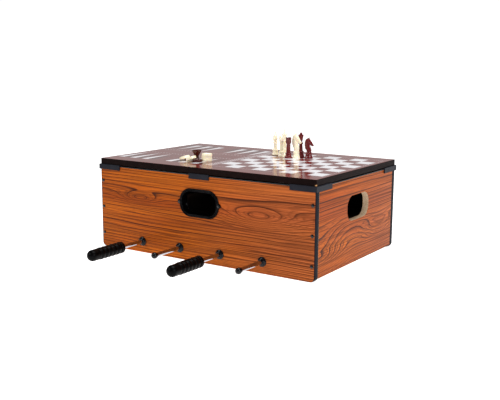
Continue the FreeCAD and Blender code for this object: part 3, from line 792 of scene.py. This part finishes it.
def mesh_of(source: bpy.types.Object) -> bpy.types.Mesh:
    """Takes the mesh that an object's curve or modifiers make, and drops the object.

    Args:
        source: the object, linked to the scene.

    Returns:
        The mesh.
    """
    bpy.context.view_layer.update()
    drawn = source.evaluated_get(bpy.context.evaluated_depsgraph_get())
    mesh = bpy.data.meshes.new_from_object(drawn)
    bpy.data.objects.remove(source)
    return mesh


def absorb(model: bmesh.types.BMesh, mesh: bpy.types.Mesh) -> None:
    """Adds a mesh to a skin being built, and drops the mesh."""
    model.from_mesh(mesh)
    bpy.data.meshes.remove(mesh)


def corner_bend(radius: float, steps: int) -> Loop:
    """How far in, and how high, the points of a round lower corner are, going down it."""
    turns = [math.radians(90 * step / steps) for step in range(1, steps + 1)]
    return [(radius * (1 - math.cos(turn)), radius * (1 - math.sin(turn))) for turn in turns]


def wall_thickness() -> float:
    """The long panels' thickness."""
    low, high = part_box("front_panel")
    return high.y - low.y


def piece_of(name: str, mesh: bpy.types.Mesh, weighted: bool = False) -> bpy.types.Object:
    """Puts a mesh in the scene.

    Args:
        name: the new piece's name.
        mesh: its mesh, in the row frame.
        weighted: whether its wide faces keep their own normals beside narrow bevels.

    Returns:
        The new object.
    """
    mesh.name = name
    piece = linked(name, mesh)
    if weighted:
        modifier = piece.modifiers.new("wide_faces_flat", "WEIGHTED_NORMAL")
        modifier.keep_sharp = True
    return piece


def plate(name: str, outline: Loop, holes: Sequence[Loop], thickness: float, ease: float,
          place: Matrix) -> bpy.types.Object:
    """A flat board with holes and softened edges.

    Args:
        name: the piece's name.
        outline: its outer edge, drawn flat.
        holes: the edges of its holes.
        thickness: its whole thickness, half each side of the drawing.
        ease: the radius that softens every edge.
        place: takes the drawing's frame to the row frame.

    Returns:
        The new object.
    """
    curve = bpy.data.curves.new(name + "_outline", "CURVE")
    curve.dimensions, curve.fill_mode = "2D", "BOTH"
    curve.extrude, curve.bevel_depth = thickness / 2 - ease, ease
    curve.offset, curve.bevel_resolution = -ease, 2
    for loop in [outline, *holes]:
        spline = curve.splines.new("POLY")
        spline.points.add(len(loop) - 1)
        for point, (across, up) in zip(spline.points, loop):
            point.co = (across, up, 0.0, 1.0)
        spline.use_cyclic_u = True
    mesh = mesh_of(linked(curve.name, curve))
    mesh.transform(place)
    model = bmesh.new()
    model.from_mesh(mesh)
    bmesh.ops.remove_doubles(model, verts=model.verts, dist=0.01 * MM)
    bmesh.ops.recalc_face_normals(model, faces=model.faces)
    model.to_mesh(mesh)
    model.free()
    return piece_of(name, smooth(mesh, 46), weighted=True)


def sweep(sections: Sequence[Sequence[Vector]], closed: bool = True,
          around: bool = True) -> bmesh.types.BMesh:
    """A skin over matching rows of points.

    Args:
        sections: rows with equal numbers of points.
        closed: whether the last row joins the first.
        around: whether each row is a loop.

    Returns:
        The mesh being built.
    """
    model = bmesh.new()
    rows = [[model.verts.new(point) for point in section] for section in sections]
    width = len(rows[0])
    for i in range(len(rows) if closed else len(rows) - 1):
        here, there = rows[i], rows[(i + 1) % len(rows)]
        for j in range(width if around else width - 1):
            after = (j + 1) % width
            model.faces.new((here[j], here[after], there[after], there[j]))
    return model


def finished(model: bmesh.types.BMesh, name: str, sharp: float = 40.0) -> bpy.types.Mesh:
    """Turns a built skin into a shaded mesh, with its faces turned outwards.

    Args:
        model: the skin that was built.
        name: the mesh's name.
        sharp: the least turn, in degrees, that stays a sharp edge.

    Returns:
        The mesh.
    """
    bmesh.ops.recalc_face_normals(model, faces=model.faces)
    mesh = bpy.data.meshes.new(name)
    model.to_mesh(mesh)
    model.free()
    return smooth(mesh, sharp)


def turned(name: str, profile: Loop, place: Matrix, steps: int = 40) -> bpy.types.Mesh:
    """A lathe-turned skin.

    Args:
        name: the mesh's name.
        profile: (radius, height) points from one end to the other.
        place: takes the lathe's +Z to the row frame.
        steps: segments round it.

    Returns:
        The mesh.
    """
    turns = [2 * math.pi * step / steps for step in range(steps)]
    rows = [
        [place @ Vector((radius * math.cos(turn), radius * math.sin(turn), height)) for turn in turns]
        for radius, height in profile
    ]
    return finished(sweep(rows, closed=False), name)


def paint(piece: bpy.types.Object, *materials: bpy.types.Material) -> bpy.types.Object:
    """Gives a new piece its materials.

    Args:
        piece: the piece to dress.
        *materials: its materials, slot by slot.

    Returns:
        The same piece.
    """
    piece.data.materials.clear()
    for material in materials:
        piece.data.materials.append(material)
    return piece


def repaint(node: str, material: bpy.types.Material) -> None:
    """Gives a CAD node one material in each of its slots.

    Args:
        node: the CAD node's name.
        material: its new material.
    """
    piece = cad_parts[node]
    if not piece.material_slots:
        piece.data.materials.append(material)
    for slot in piece.material_slots:
        slot.material = material
    log.info("dressed %s", node)


def enter(piece: bpy.types.Object, body: str, slot: Slot, *replaced: str) -> bpy.types.Object:
    """Joins a new piece to the frame.

    Args:
        piece: the piece, in place.
        body: the CAD body it rides on.
        slot: the record's material slot; not used.
        *replaced: the CAD nodes it stands for.

    Returns:
        The piece.
    """
    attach(piece, body)
    if replaced:
        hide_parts(*replaced)
    log.info("built %s on %s", piece.name, body)
    return piece


# ---- the case

@dataclass
class Palette:
    """Every finish of the box, made once."""

    board_corner: Vector
    foot_band_top: float
    made: dict[str, bpy.types.Material] = field(default_factory=dict)

    def finishes(self) -> dict[str, Finish]:
        """Each finish by the use it is put to. A foil's figures are in metres along and up its panel.

        Returns:
            The finishes.
        """
        gloss = {"roughness": (0.1, 0.2), "texture_depth": 0.004 * MM, "rub": 0.2}
        black = {"shine": 0.05}
        # the ivory carries a painted glow of 0.17
        ivory = {"colour": "FFF5DA", "rubbed": "FCEBC8", "scatter": 0.25, "glow": 0.17}
        return {
            "front": WoodFoil("Wood_foil_front", figures=(
                Figure(-0.175, 0.131, 0.052, 0.013, 3.0),
                Figure(0.162, 0.122, 0.092, 0.020, 4.6)), seed=1.3),
            "back": WoodFoil("Wood_foil_back", figures=(
                Figure(0.09, 0.12, 0.09, 0.018, 4.4),), seed=12.7),
            "left": WoodFoil("Wood_foil_left", grain=Grain.CROSSWAYS, figures=(
                Figure(-0.06, 0.07, 0.09, 0.02, 4.0),), seed=23.1),
            "right": WoodFoil("Wood_foil_right", grain=Grain.CROSSWAYS, figures=(
                Figure(-0.19, 0.05, 0.11, 0.06, 5.5), Figure(0.12, 0.07, 0.10, 0.03, 3.4)), seed=31.9),
            # pale tan rim in the hand openings, against the dark hole
            "cut": CutFibreboard("Sawn_fibreboard"),
            "liner": PaintedLiner("Rolled_black_paint"),
            # charcoal with a blue cast and a dull sheen
            "clip": MouldedPlastic("Moulded_polypropylene_clip", colour="1B1C23", rubbed="2B2D35",
                                   roughness=(0.32, 0.46), shine=0.07),
            # nearly black lines that frame the orange panels
            "strip": MouldedPlastic("Extruded_PVC_edging", colour="0A0C14", rubbed="161823",
                                    roughness=(0.42, 0.56), flow_per_metre=60.0, **black),
            # catches a thin light line under the board
            "trim": MouldedPlastic("Glossy_extruded_PVC_trim", colour="12171A", rubbed="20272B",
                                   flow_per_metre=60.0, roughness=(0.3, 0.42), shine=0.3),
            # wet-looking black balls and flanges
            "dome": MouldedPlastic("Glossy_moulded_nylon", colour="030305", rubbed="09090D",
                                   **gloss | {"shine": 0.25}),
            # a small bright dot on each screw head
            "screw": MouldedPlastic("Black_lacquered_screw_head", colour="040406", rubbed="0C0C10",
                                    **gloss | {"shine": 0.4}),
            # the deep black lip round the port
            "gloss": MouldedPlastic("Glossy_moulded_ABS", colour="030304", rubbed="09090B",
                                    **gloss, **black),
            # soft black, with only the rings' crests lit
            "grip": MouldedPlastic("Soft_touch_grip_rubber", colour="030303", rubbed="080708",
                                   roughness=(0.26, 0.38), texture_per_metre=1800.0,
                                   texture_depth=0.05 * MM, shine=0.05),
            # mirrors the wood above and the white floor below
            "chrome": ChromePlate("Chrome_plated_tube"),
            # dead matt black
            "rubber": MouldedPlastic("Moulded_bumper_rubber", colour="121212", rubbed="2A2A2A",
                                     roughness=(0.7, 0.85)),
            "print": PrintedLaminate("Printed_laminate"),
            "edging": EdgeBanding("Board_edge_banding", chip=tuple(self.board_corner)),
            "pitch": PitchBoard("Printed_hardboard_pitch"),
            # creamy near-white, with a painted glow that makes it look lit from within
            "ivory": MouldedPlastic("Polished_ivory_polystyrene", **ivory, **gloss),
            "ivory_banded": DarkBandFooted("Polished_ivory_polystyrene_dark_foot_band", foot_band_top=self.foot_band_top,
                                   **ivory, **gloss),
            # dark ox-blood with wet highlights
            "red": MouldedPlastic("Polished_oxblood_polystyrene", colour="6E171A", rubbed="480E12",
                                  **gloss),
            # red-brown, almost black in the shade
            "dark": MouldedPlastic("Polished_walnut_brown_polystyrene", colour="4A1812", rubbed="260C08",
                                   **gloss),
        }

    def __getitem__(self, use: str) -> bpy.types.Material:
        """The material for a use, made the first time it is asked for.

        Args:
            use: what the material is put on.

        Returns:
            The material.
        """
        if use not in self.made:
            self.made[use] = self.finishes()[use].make()
        return self.made[use]


@dataclass
class LongPanel:
    """Front or back panel: a foil-faced board with round lower corners and its holes."""

    side: Side
    ease: float = 0.5 * MM
    lower_corner: float = 10 * MM
    port: Point = (100 * MM, 56 * MM)
    port_corner: float = 25 * MM
    port_rise: float = 137 * MM
    sleeve: float = 7 * MM
    rod_rise: float = 27 * MM

    def build(self, palette: Palette) -> None:
        """Makes the panel and gives it foil outside, paint inside and bare board in its holes.

        Args:
            palette: every finish of the box.
        """
        node = f"{self.side.value}_panel"
        low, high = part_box(node)
        half, edge = (high.x - low.x) / 2, self.lower_corner
        outline = [(half, high.z), (-half, high.z), (-half, edge)]
        outline += [(-half + x, z) for x, z in corner_bend(edge, steps=6)]
        outline += [(-x, z) for x, z in reversed(outline[3:])] + [(half, edge)]
        rods = [sum(corner.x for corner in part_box(f"rod_{index}")) / 2 for index in range(1, 5)]
        holes = [rounded_rectangle(*self.port, self.port_corner, (0.0, self.port_rise))]
        holes += [round_hole((x, self.rod_rise), self.sleeve) for x in rods]
        across = Matrix.Rotation(math.radians(90), 4, "X")
        place = Matrix.Translation((0, (low.y + high.y) / 2, 0)) @ across
        piece = plate(f"{node}_board", outline, holes, high.y - low.y, self.ease, place)
        paint(piece, palette[self.side.value], palette["liner"], palette["cut"])
        for face in piece.data.polygons:
            outward = face.normal.y * self.side.facing
            inside = abs(face.center.x) < half - self.ease * 2 and face.center.z < high.z - self.ease * 2
            if outward < -0.5:
                face.material_index = 1
            elif outward < 0.3 and inside and face.center.z > self.ease * 2:
                face.material_index = 2
        enter(piece, "case", Slot.FOIL, node)


@dataclass
class SidePanel:
    """End panel: a foil-faced board between the long ones, with a bare-edged hand opening."""

    side: Side
    ease: float = 0.5 * MM
    grip: Point = (108 * MM, 57 * MM)
    grip_corner: float = 25 * MM
    grip_rise: float = 133.5 * MM

    def build(self, palette: Palette) -> None:
        """Makes the panel and gives it foil outside, paint inside and bare board in its opening.

        Args:
            palette: every finish of the box.
        """
        node = f"{self.side.value}_panel"
        low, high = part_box(node)
        half = high.y
        outline = [(-half, low.z), (half, low.z), (half, high.z), (-half, high.z)]
        holes = [rounded_rectangle(*self.grip, self.grip_corner, (0.0, self.grip_rise), steps=16)]
        place = Matrix.Translation(((low.x + high.x) / 2, 0, 0)) @ Matrix(
            ((0, 0, 1, 0), (1, 0, 0, 0), (0, 1, 0, 0), (0, 0, 0, 1)))
        piece = plate(f"{node}_board", outline, holes, high.x - low.x, self.ease, place)
        paint(piece, palette[self.side.value], palette["liner"], palette["cut"])
        for face in piece.data.polygons:
            outward = face.normal.x * self.side.facing
            if outward < -0.5:
                face.material_index = 1
            elif outward < 0.6:
                face.material_index = 2
        enter(piece, "case", Slot.FOIL, node)


@dataclass
class EndStrips:
    """Crowned plastic edging on the long panels' ends, bent round the lower corners."""

    bend: float = 10 * MM
    thickness: float = 1.5 * MM
    crown: tuple[tuple[float, float], ...] = (
        (-1.0, 0.0), (-1.0, 0.62), (-0.94, 0.8), (-0.8, 0.86), (-0.12, 0.88), (0.0, 1.0), (0.12, 0.88),
        (0.8, 0.86), (0.94, 0.8), (1.0, 0.62), (1.0, 0.0))

    def build(self, palette: Palette) -> None:
        """Sweeps the crowned section down each end and round its corner.

        Args:
            palette: every finish of the box.
        """
        low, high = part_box("end_strips")
        wall = wall_thickness()
        path = [(0.0, high.z - 0.2 * MM), (0.0, self.bend), *corner_bend(self.bend, steps=10)]
        whole = bmesh.new()
        for side in (-1, 1):
            for end in (-1, 1):
                middle = end * (high.y - wall / 2)
                rows = [self.section(spot, side, high.x, middle, wall) for spot in path]
                strip = sweep(rows, closed=False)
                bmesh.ops.contextual_create(strip, geom=[edge for edge in strip.edges if edge.is_boundary])
                bmesh.ops.recalc_face_normals(strip, faces=strip.faces)
                part = bpy.data.meshes.new("strip")
                strip.to_mesh(part)
                strip.free()
                absorb(whole, part)
        piece = piece_of("end_strip_edging", finished(whole, "end_strip_edging", 25))
        enter(paint(piece, palette["strip"]), "case", Slot.BLACK, "end_strips")

    def section(self, spot: Point, side: int, out: float, middle: float, wall: float) -> list[Vector]:
        """The crowned section at one spot of the path.

        Args:
            spot: how far in from the end, and how high, the strip's outer face is.
            side: -1 for the left end, 1 for the right.
            out: the outer face's distance from the middle of the box.
            middle: the strip's middle along Y.
            wall: its width.

        Returns:
            The section's points.
        """
        inwards = Vector((1.0, 0.0))
        if spot[1] < self.bend:
            inwards = Vector((self.bend - spot[0], self.bend - spot[1])).normalized()
        points = []
        for across, height in self.crown:
            depth = (1 - height) * self.thickness
            points.append(Vector((side * (out - spot[0] - inwards.x * depth), middle + across * wall / 2,
                                  spot[1] + inwards.y * depth)))
        return points


@dataclass
class RimTrims:
    """Soft-edged black trim along the panels' top edges."""

    ease: float = 0.8 * MM

    def build(self, palette: Palette) -> None:
        """Makes one closed frame of trim.

        Args:
            palette: every finish of the box.
        """
        low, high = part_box("rim_trims")
        wall = wall_thickness()
        outer = [(low.x, low.y), (high.x, low.y), (high.x, high.y), (low.x, high.y)]
        inner = [(x - math.copysign(wall, x), y - math.copysign(wall, y)) for x, y in outer]
        piece = plate("rim_trim_frame", outer, [inner], high.z - low.z, self.ease,
                      Matrix.Translation((0, 0, (low.z + high.z) / 2)))
        enter(paint(piece, palette["trim"]), "case", Slot.BLACK, "rim_trims")


@dataclass
class PortRing:
    """A glossy ring that lines a port: a rolled lip, a stepped flange, a sleeve and two screw ears."""

    side: Side
    bore: Point = (96 * MM, 52 * MM)
    bore_corner: float = 23 * MM
    rise: float = 137 * MM
    ear: float = 5.5 * MM
    ear_reach: float = 55 * MM
    # Millimetres out from the bore and out from the panel, from the sleeve's inner end round the lip.
    profile: tuple[Point, ...] = (
        (2, -16.8), (0.3, -17), (0.0, -16.6), (0.0, -4), (0.0, 0.9), (0.15, 1.7), (0.6, 2.3), (1.2, 2.5),
        (1.8, 2.35), (2.2, 1.9), (2.5, 1.5), (2.9, 1.45), (3.3, 1.9), (3.8, 2.6), (4.5, 2.95), (5.4, 2.9),
        (6.2, 2.4), (6.8, 1.5), (7, 0.8), (7, 0.0))

    def build(self, palette: Palette) -> None:
        """Sweeps the lip round the bore and adds the ears.

        Args:
            palette: every finish of the box.
        """
        node = f"port_ring_{self.side.value}"
        face = self.side.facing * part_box("back_panel")[1].y
        rows = []
        for out, proud in ((across * MM, forward * MM) for across, forward in self.profile):
            loop = rounded_rectangle(self.bore[0] + 2 * out, self.bore[1] + 2 * out, self.bore_corner + out,
                                     (0.0, self.rise), steps=16)
            rows.append([Vector((x, face + self.side.facing * proud, z)) for x, z in loop])
        whole = sweep(rows, closed=False)
        for side in (-1, 1):
            turn = Matrix.Rotation(math.radians(-90 * self.side.facing), 4, "X")
            place = Matrix.Translation((side * self.ear_reach, face, self.rise)) @ turn
            disc = [(0.01 * MM, 0.0), (self.ear, 0.0), (self.ear, 1.6 * MM),
                    (self.ear - 0.25 * MM, 2.2 * MM), (self.ear - 0.9 * MM, 2.5 * MM),
                    (0.01 * MM, 2.5 * MM)]
            absorb(whole, turned("ear", disc, place))
        piece = piece_of(f"{node}_moulding", finished(whole, node, 60))
        enter(paint(piece, palette["gloss"]), "case", Slot.BLACK, node)


@dataclass
class Case:
    """The box: its panels, edging, clips, rings, screws and bushings."""

    palette: Palette

    def build(self) -> None:
        """Builds the boards and trims and dresses the plain fittings."""
        for side in (Side.FRONT, Side.BACK):
            LongPanel(side).build(self.palette)
            PortRing(side).build(self.palette)
            clips = [f"corner_clip_{side.value}_{end.value}" for end in (Side.LEFT, Side.RIGHT)]
            for node in (f"middle_clip_{side.value}", *clips):
                repaint(node, self.palette["clip"])
        for side in (Side.LEFT, Side.RIGHT):
            SidePanel(side).build(self.palette)
        EndStrips().build(self.palette)
        RimTrims().build(self.palette)
        repaint("pitch_panel", self.palette["pitch"])
        for node, use in (("cap_screws", "screw"), ("ring_screws", "screw"), ("rod_bushings", "dome"),
                          ("bushing_nuts", "dome")):
            repaint(node, self.palette[use])


@dataclass
class RodSet:
    """One rod with its grip, ball end, bumpers and players."""

    index: int
    palette: Palette

    def build(self) -> None:
        """Dresses the rod and all it carries."""
        repaint(f"rod_{self.index}", self.palette["chrome"])
        repaint(f"handle_{self.index}", self.palette["grip"])
        repaint(f"knob_{self.index}", self.palette["dome"])
        repaint(f"bumpers_{self.index}", self.palette["rubber"])
        team = self.palette["ivory" if self.index in (1, 3) else "red"]
        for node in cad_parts:
            if node.startswith(f"player_{self.index}"):
                repaint(node, team)


@dataclass
class GameBoard:
    """The printed board that lies on the clips."""

    palette: Palette
    corner: float = 2 * MM
    ease: float = 0.7 * MM

    def build(self) -> None:
        """Makes the slab, printed on top and edged in dark plastic."""
        low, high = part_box("game_board")
        outline = rounded_rectangle(high.x - low.x, high.y - low.y, self.corner, steps=4)
        piece = plate("game_board_slab", outline, [], high.z - low.z, self.ease,
                      Matrix.Translation((0, 0, (low.z + high.z) / 2)))
        paint(piece, self.palette["print"], self.palette["edging"])
        for face in piece.data.polygons:
            face.material_index = 0 if face.normal.z > 0.8 else 1
        enter(piece, "board", Slot.PRINT, "game_board")


# ---- the playing pieces

@dataclass(frozen=True)
class Limb:
    """A run of overlapping lumps, in shares of the piece's height.

    Each point is (ahead, up, radius); flat is the lumps' thickness over their width.
    """

    points: tuple[tuple[float, float, float], ...]
    flat: float
    aside: float = 0.0
    spacing: float = 0.012

    def lumps(self) -> list[tuple[float, float, float]]:
        """Each lump's place ahead, height and radius, spread evenly from point to point.

        Returns:
            The lumps, from first to last.
        """
        spots = []
        for start, end in zip(self.points, self.points[1:]):
            count = max(1, round(math.dist(start[:2], end[:2]) / self.spacing))
            spots += [tuple(a + (b - a) * step / count for a, b in zip(start, end))
                      for step in range(count)]
        return spots + [self.points[-1]]


NECK = Limb(((0.008, 0.27, 0.12), (0.01, 0.39, 0.132), (-0.045, 0.55, 0.122), (-0.07, 0.7, 0.112),
             (-0.04, 0.82, 0.095)), 0.62)
HEAD = Limb(((-0.01, 0.825, 0.085), (0.085, 0.745, 0.073), (0.165, 0.66, 0.055),
             (0.212, 0.628, 0.047)), 0.72)
JAW = Limb(((0.02, 0.735, 0.07), (0.06, 0.7, 0.05), (0.15, 0.62, 0.036), (0.18, 0.6, 0.03)), 0.8)
MANE = Limb(((-0.155, 0.44, 0.04), (-0.186, 0.58, 0.046), (-0.186, 0.72, 0.046), (-0.145, 0.84, 0.046),
             (-0.075, 0.895, 0.042)), 0.75, spacing=0.058)
FORELOCK = Limb(((0.0, 0.905, 0.03), (0.075, 0.86, 0.022)), 0.7)
EARS = [Limb(((-0.02, 0.9, 0.028), (0.004, 0.965, 0.018), (0.014, 0.985, 0.008)), 0.7, aside)
        for aside in (-0.04, 0.04)]
EYES = [Limb(((0.072, 0.785, 0.02), (0.076, 0.783, 0.02)), 0.6, aside) for aside in (-0.045, 0.045)]
# The turned foot, as shares of its radius and of the piece's height.
KNIGHT_FOOT = [
    (0.0, 0.0), (0.96, 0.0), (1.0, 0.008), (1.0, 0.03), (0.985, 0.048), (0.95, 0.064), (0.9, 0.08),
    (0.84, 0.12), (0.79, 0.16), (0.765, 0.192), (0.79, 0.2), (0.82, 0.21), (0.83, 0.225), (0.82, 0.24),
    (0.78, 0.25), (0.66, 0.256), (0.6, 0.265), (0.56, 0.3), (0.0, 0.3),
]


@dataclass
class Knight:
    """A carved horse's head and neck on a turned foot, in the place of the flat-cut CAD one."""

    node: str
    finish: str
    slot: Slot
    radius: float
    facing: float
    voxel: float = 0.5 * MM

    def place(self) -> tuple[Matrix, float]:
        """Where the foot stands, turned the way the horse looks, and the piece's height.

        Returns:
            The place and the height.
        """
        low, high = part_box(self.node)
        spots = [vertex.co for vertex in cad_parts[self.node].data.vertices]
        sole = [spot for spot in spots if spot.z < low.z + 0.05 * MM]
        middle = [(min(spot[i] for spot in sole) + max(spot[i] for spot in sole)) / 2 for i in (0, 1)]
        turn = Matrix.Rotation(math.radians(self.facing), 4, "Z")
        return Matrix.Translation((*middle, low.z)) @ turn, high.z - low.z

    def carve(self, place: Matrix, tall: float) -> bpy.types.Mesh:
        """Grows the head out of lumps and melts them into one skin.

        Args:
            place: where the foot stands, turned the way the horse looks.
            tall: the piece's height.

        Returns:
            The carved mesh.
        """
        model = bmesh.new()
        for limb in (NECK, HEAD, JAW, MANE, FORELOCK, *EARS, *EYES):
            for ahead, up, radius in limb.lumps():
                size = Matrix.Diagonal((radius * tall, radius * tall * limb.flat, radius * tall, 1.0))
                spot = Matrix.Translation((ahead * tall, limb.aside * tall, up * tall))
                bmesh.ops.create_icosphere(model, subdivisions=3, radius=1.0, matrix=place @ spot @ size)
        lumps = bpy.data.meshes.new(f"{self.node}_lumps")
        model.to_mesh(lumps)
        model.free()
        block = linked(f"{self.node}_block", lumps)
        melt = block.modifiers.new("melt", "REMESH")
        melt.mode, melt.voxel_size = "VOXEL", self.voxel
        soften = block.modifiers.new("soften", "SMOOTH")
        soften.factor, soften.iterations = 0.5, 3
        return mesh_of(block)

    def build(self, palette: Palette) -> None:
        """Carves the head, turns the foot and joins them.

        Args:
            palette: every finish of the box.
        """
        place, tall = self.place()
        model = bmesh.new()
        absorb(model, self.carve(place, tall))
        absorb(model, turned(f"{self.node}_foot", [
            (share * self.radius, up * tall) for share, up in KNIGHT_FOOT], place, steps=64))
        bmesh.ops.remove_doubles(model, verts=model.verts, dist=0.001 * MM)
        piece = piece_of(f"{self.node}_carving", finished(model, f"{self.node}_carving", 50))
        enter(paint(piece, palette[self.finish]), f"{self.node}_body", self.slot, self.node)


@dataclass
class PlayingPieces:
    """The loose chessmen, draughts and cup."""

    palette: Palette

    def build(self) -> None:
        """Dresses each piece in its side's colour."""
        for node in ("king_ivory", "rook_ivory"):
            repaint(node, self.palette["ivory"])
        repaint("bishop_ivory", self.palette["ivory_banded"])
        for node in ("rook_red", "queen_red"):
            repaint(node, self.palette["red"])
        Knight("knight_ivory", "ivory", Slot.IVORY, 9.2 * MM, -12.0).build(self.palette)
        Knight("knight_red", "red", Slot.RED, 10 * MM, 0.0).build(self.palette)
        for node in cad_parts:
            if node.startswith("draught_ivory"):
                repaint(node, self.palette["ivory"])
            elif node.startswith("draught_dark") or node == "dice_cup":
                repaint(node, self.palette["dark"])


# ---- the studio

@dataclass
class Softbox:
    """A square area light that looks at the box."""

    name: str
    place: tuple[float, float, float]
    size: float
    watts: float

    def build(self, target: Vector) -> None:
        """Hangs the light and turns it to the target.

        Args:
            target: the spot it lights.
        """
        data = bpy.data.lights.new(self.name, "AREA")
        data.shape, data.size, data.energy = "SQUARE", self.size, self.watts
        lamp = linked(self.name, data)
        lamp.location = self.place
        lamp.visible_camera = False
        lamp.rotation_euler = (target - lamp.location).to_track_quat("-Z", "Y").to_euler()


@dataclass
class Studio:
    """White paper floor, white surround, soft lights and the camera."""

    target: Vector = field(default_factory=lambda: Vector((6.2 * MM, 0.0, 116.3 * MM)))
    azimuth: float = 33.34
    elevation: float = 10.37
    roll: float = 0.34
    distance: float = 1.971
    lens: float = 57.47
    floor_half: float = 14.0
    floor_tiles: int = 24
    surround: float = 0.2  # how bright it is as light on the box and in reflections
    seen_white: float = 1.05  # how bright the camera sees it

    def build(self) -> None:
        """Sets up everything round the box."""
        self.build_floor()
        self.build_surround()
        for softbox in (
            Softbox("overhead", place=(0.3, 0.2, 2.6), size=1.6, watts=50.0),
            Softbox("front_left", place=(-1.5, -2.3, 1.7), size=0.8, watts=26.0),
            Softbox("right_fill", place=(2.6, -0.9, 1.3), size=0.9, watts=32.0),
            Softbox("behind", place=(-1.95, 2.95, 1.2), size=3.0, watts=7.0),
        ):
            softbox.build(self.target)
        self.build_camera()
        bpy.context.scene.view_settings.view_transform = "Standard"

    def build_floor(self) -> None:
        """A wide flat sheet of paper, so large that its edge meets the white surround."""
        tiles = self.floor_tiles
        reach = [self.floor_half * (2 * step / tiles - 1) for step in range(tiles + 1)]
        rows = [[Vector((x, y, 0.0)) for x in reach] for y in reach]
        model = sweep(rows, closed=False, around=False)
        floor = piece_of("floor_paper", finished(model, "floor_paper"))
        paint(floor, StudioPaper("Background_paper").make())

    def build_surround(self) -> None:
        """White behind the box, and softer light round it for what it reflects."""
        world = bpy.data.worlds.new("white_surround")
        world.use_nodes = True
        tree = world.node_tree
        tree.nodes.clear()
        seen = add_node(tree, "ShaderNodeLightPath", output="Is Camera Ray")
        strength = add_node(tree, "ShaderNodeMapRange", {0: seen, 3: self.surround, 4: self.seen_white})
        light = add_node(tree, "ShaderNodeBackground", {"Color": linear("FFFFFF"), "Strength": strength})
        output = tree.nodes.new("ShaderNodeOutputWorld")
        tree.links.new(light, output.inputs["Surface"])
        bpy.context.scene.world = world

    def build_camera(self) -> None:
        """A camera on a circle round the box, level but for a trace of roll."""
        azimuth, elevation = math.radians(self.azimuth), math.radians(self.elevation)
        back = Vector((math.sin(azimuth) * math.cos(elevation), -math.cos(azimuth) * math.cos(elevation),
                       math.sin(elevation)))
        data = bpy.data.cameras.new("camera")
        data.lens, data.sensor_width = self.lens, 36.0
        camera = linked("camera", data)
        camera.location = self.target + back * self.distance
        look = (-back).to_track_quat("-Z", "Y").to_matrix().to_4x4()
        tilt = Euler((0.0, 0.0, math.radians(self.roll))).to_matrix().to_4x4()
        camera.rotation_euler = (look @ tilt).to_euler()
        bpy.context.scene.camera = camera


def main() -> None:
    """Builds the box, its pieces and the studio, in that order."""
    logging.basicConfig(level=logging.INFO, format="%(name)s: %(message)s")
    low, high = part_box("game_board")
    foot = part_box("bishop_ivory")[0].z
    palette = Palette(Vector((high.x, low.y, low.z)), foot + FOOT_BAND_HEIGHT)
    Case(palette).build()
    for index in range(1, 5):
        RodSet(index, palette).build()
    GameBoard(palette).build()
    PlayingPieces(palette).build()
    Studio().build()


if __name__ == "__main__":
    main()
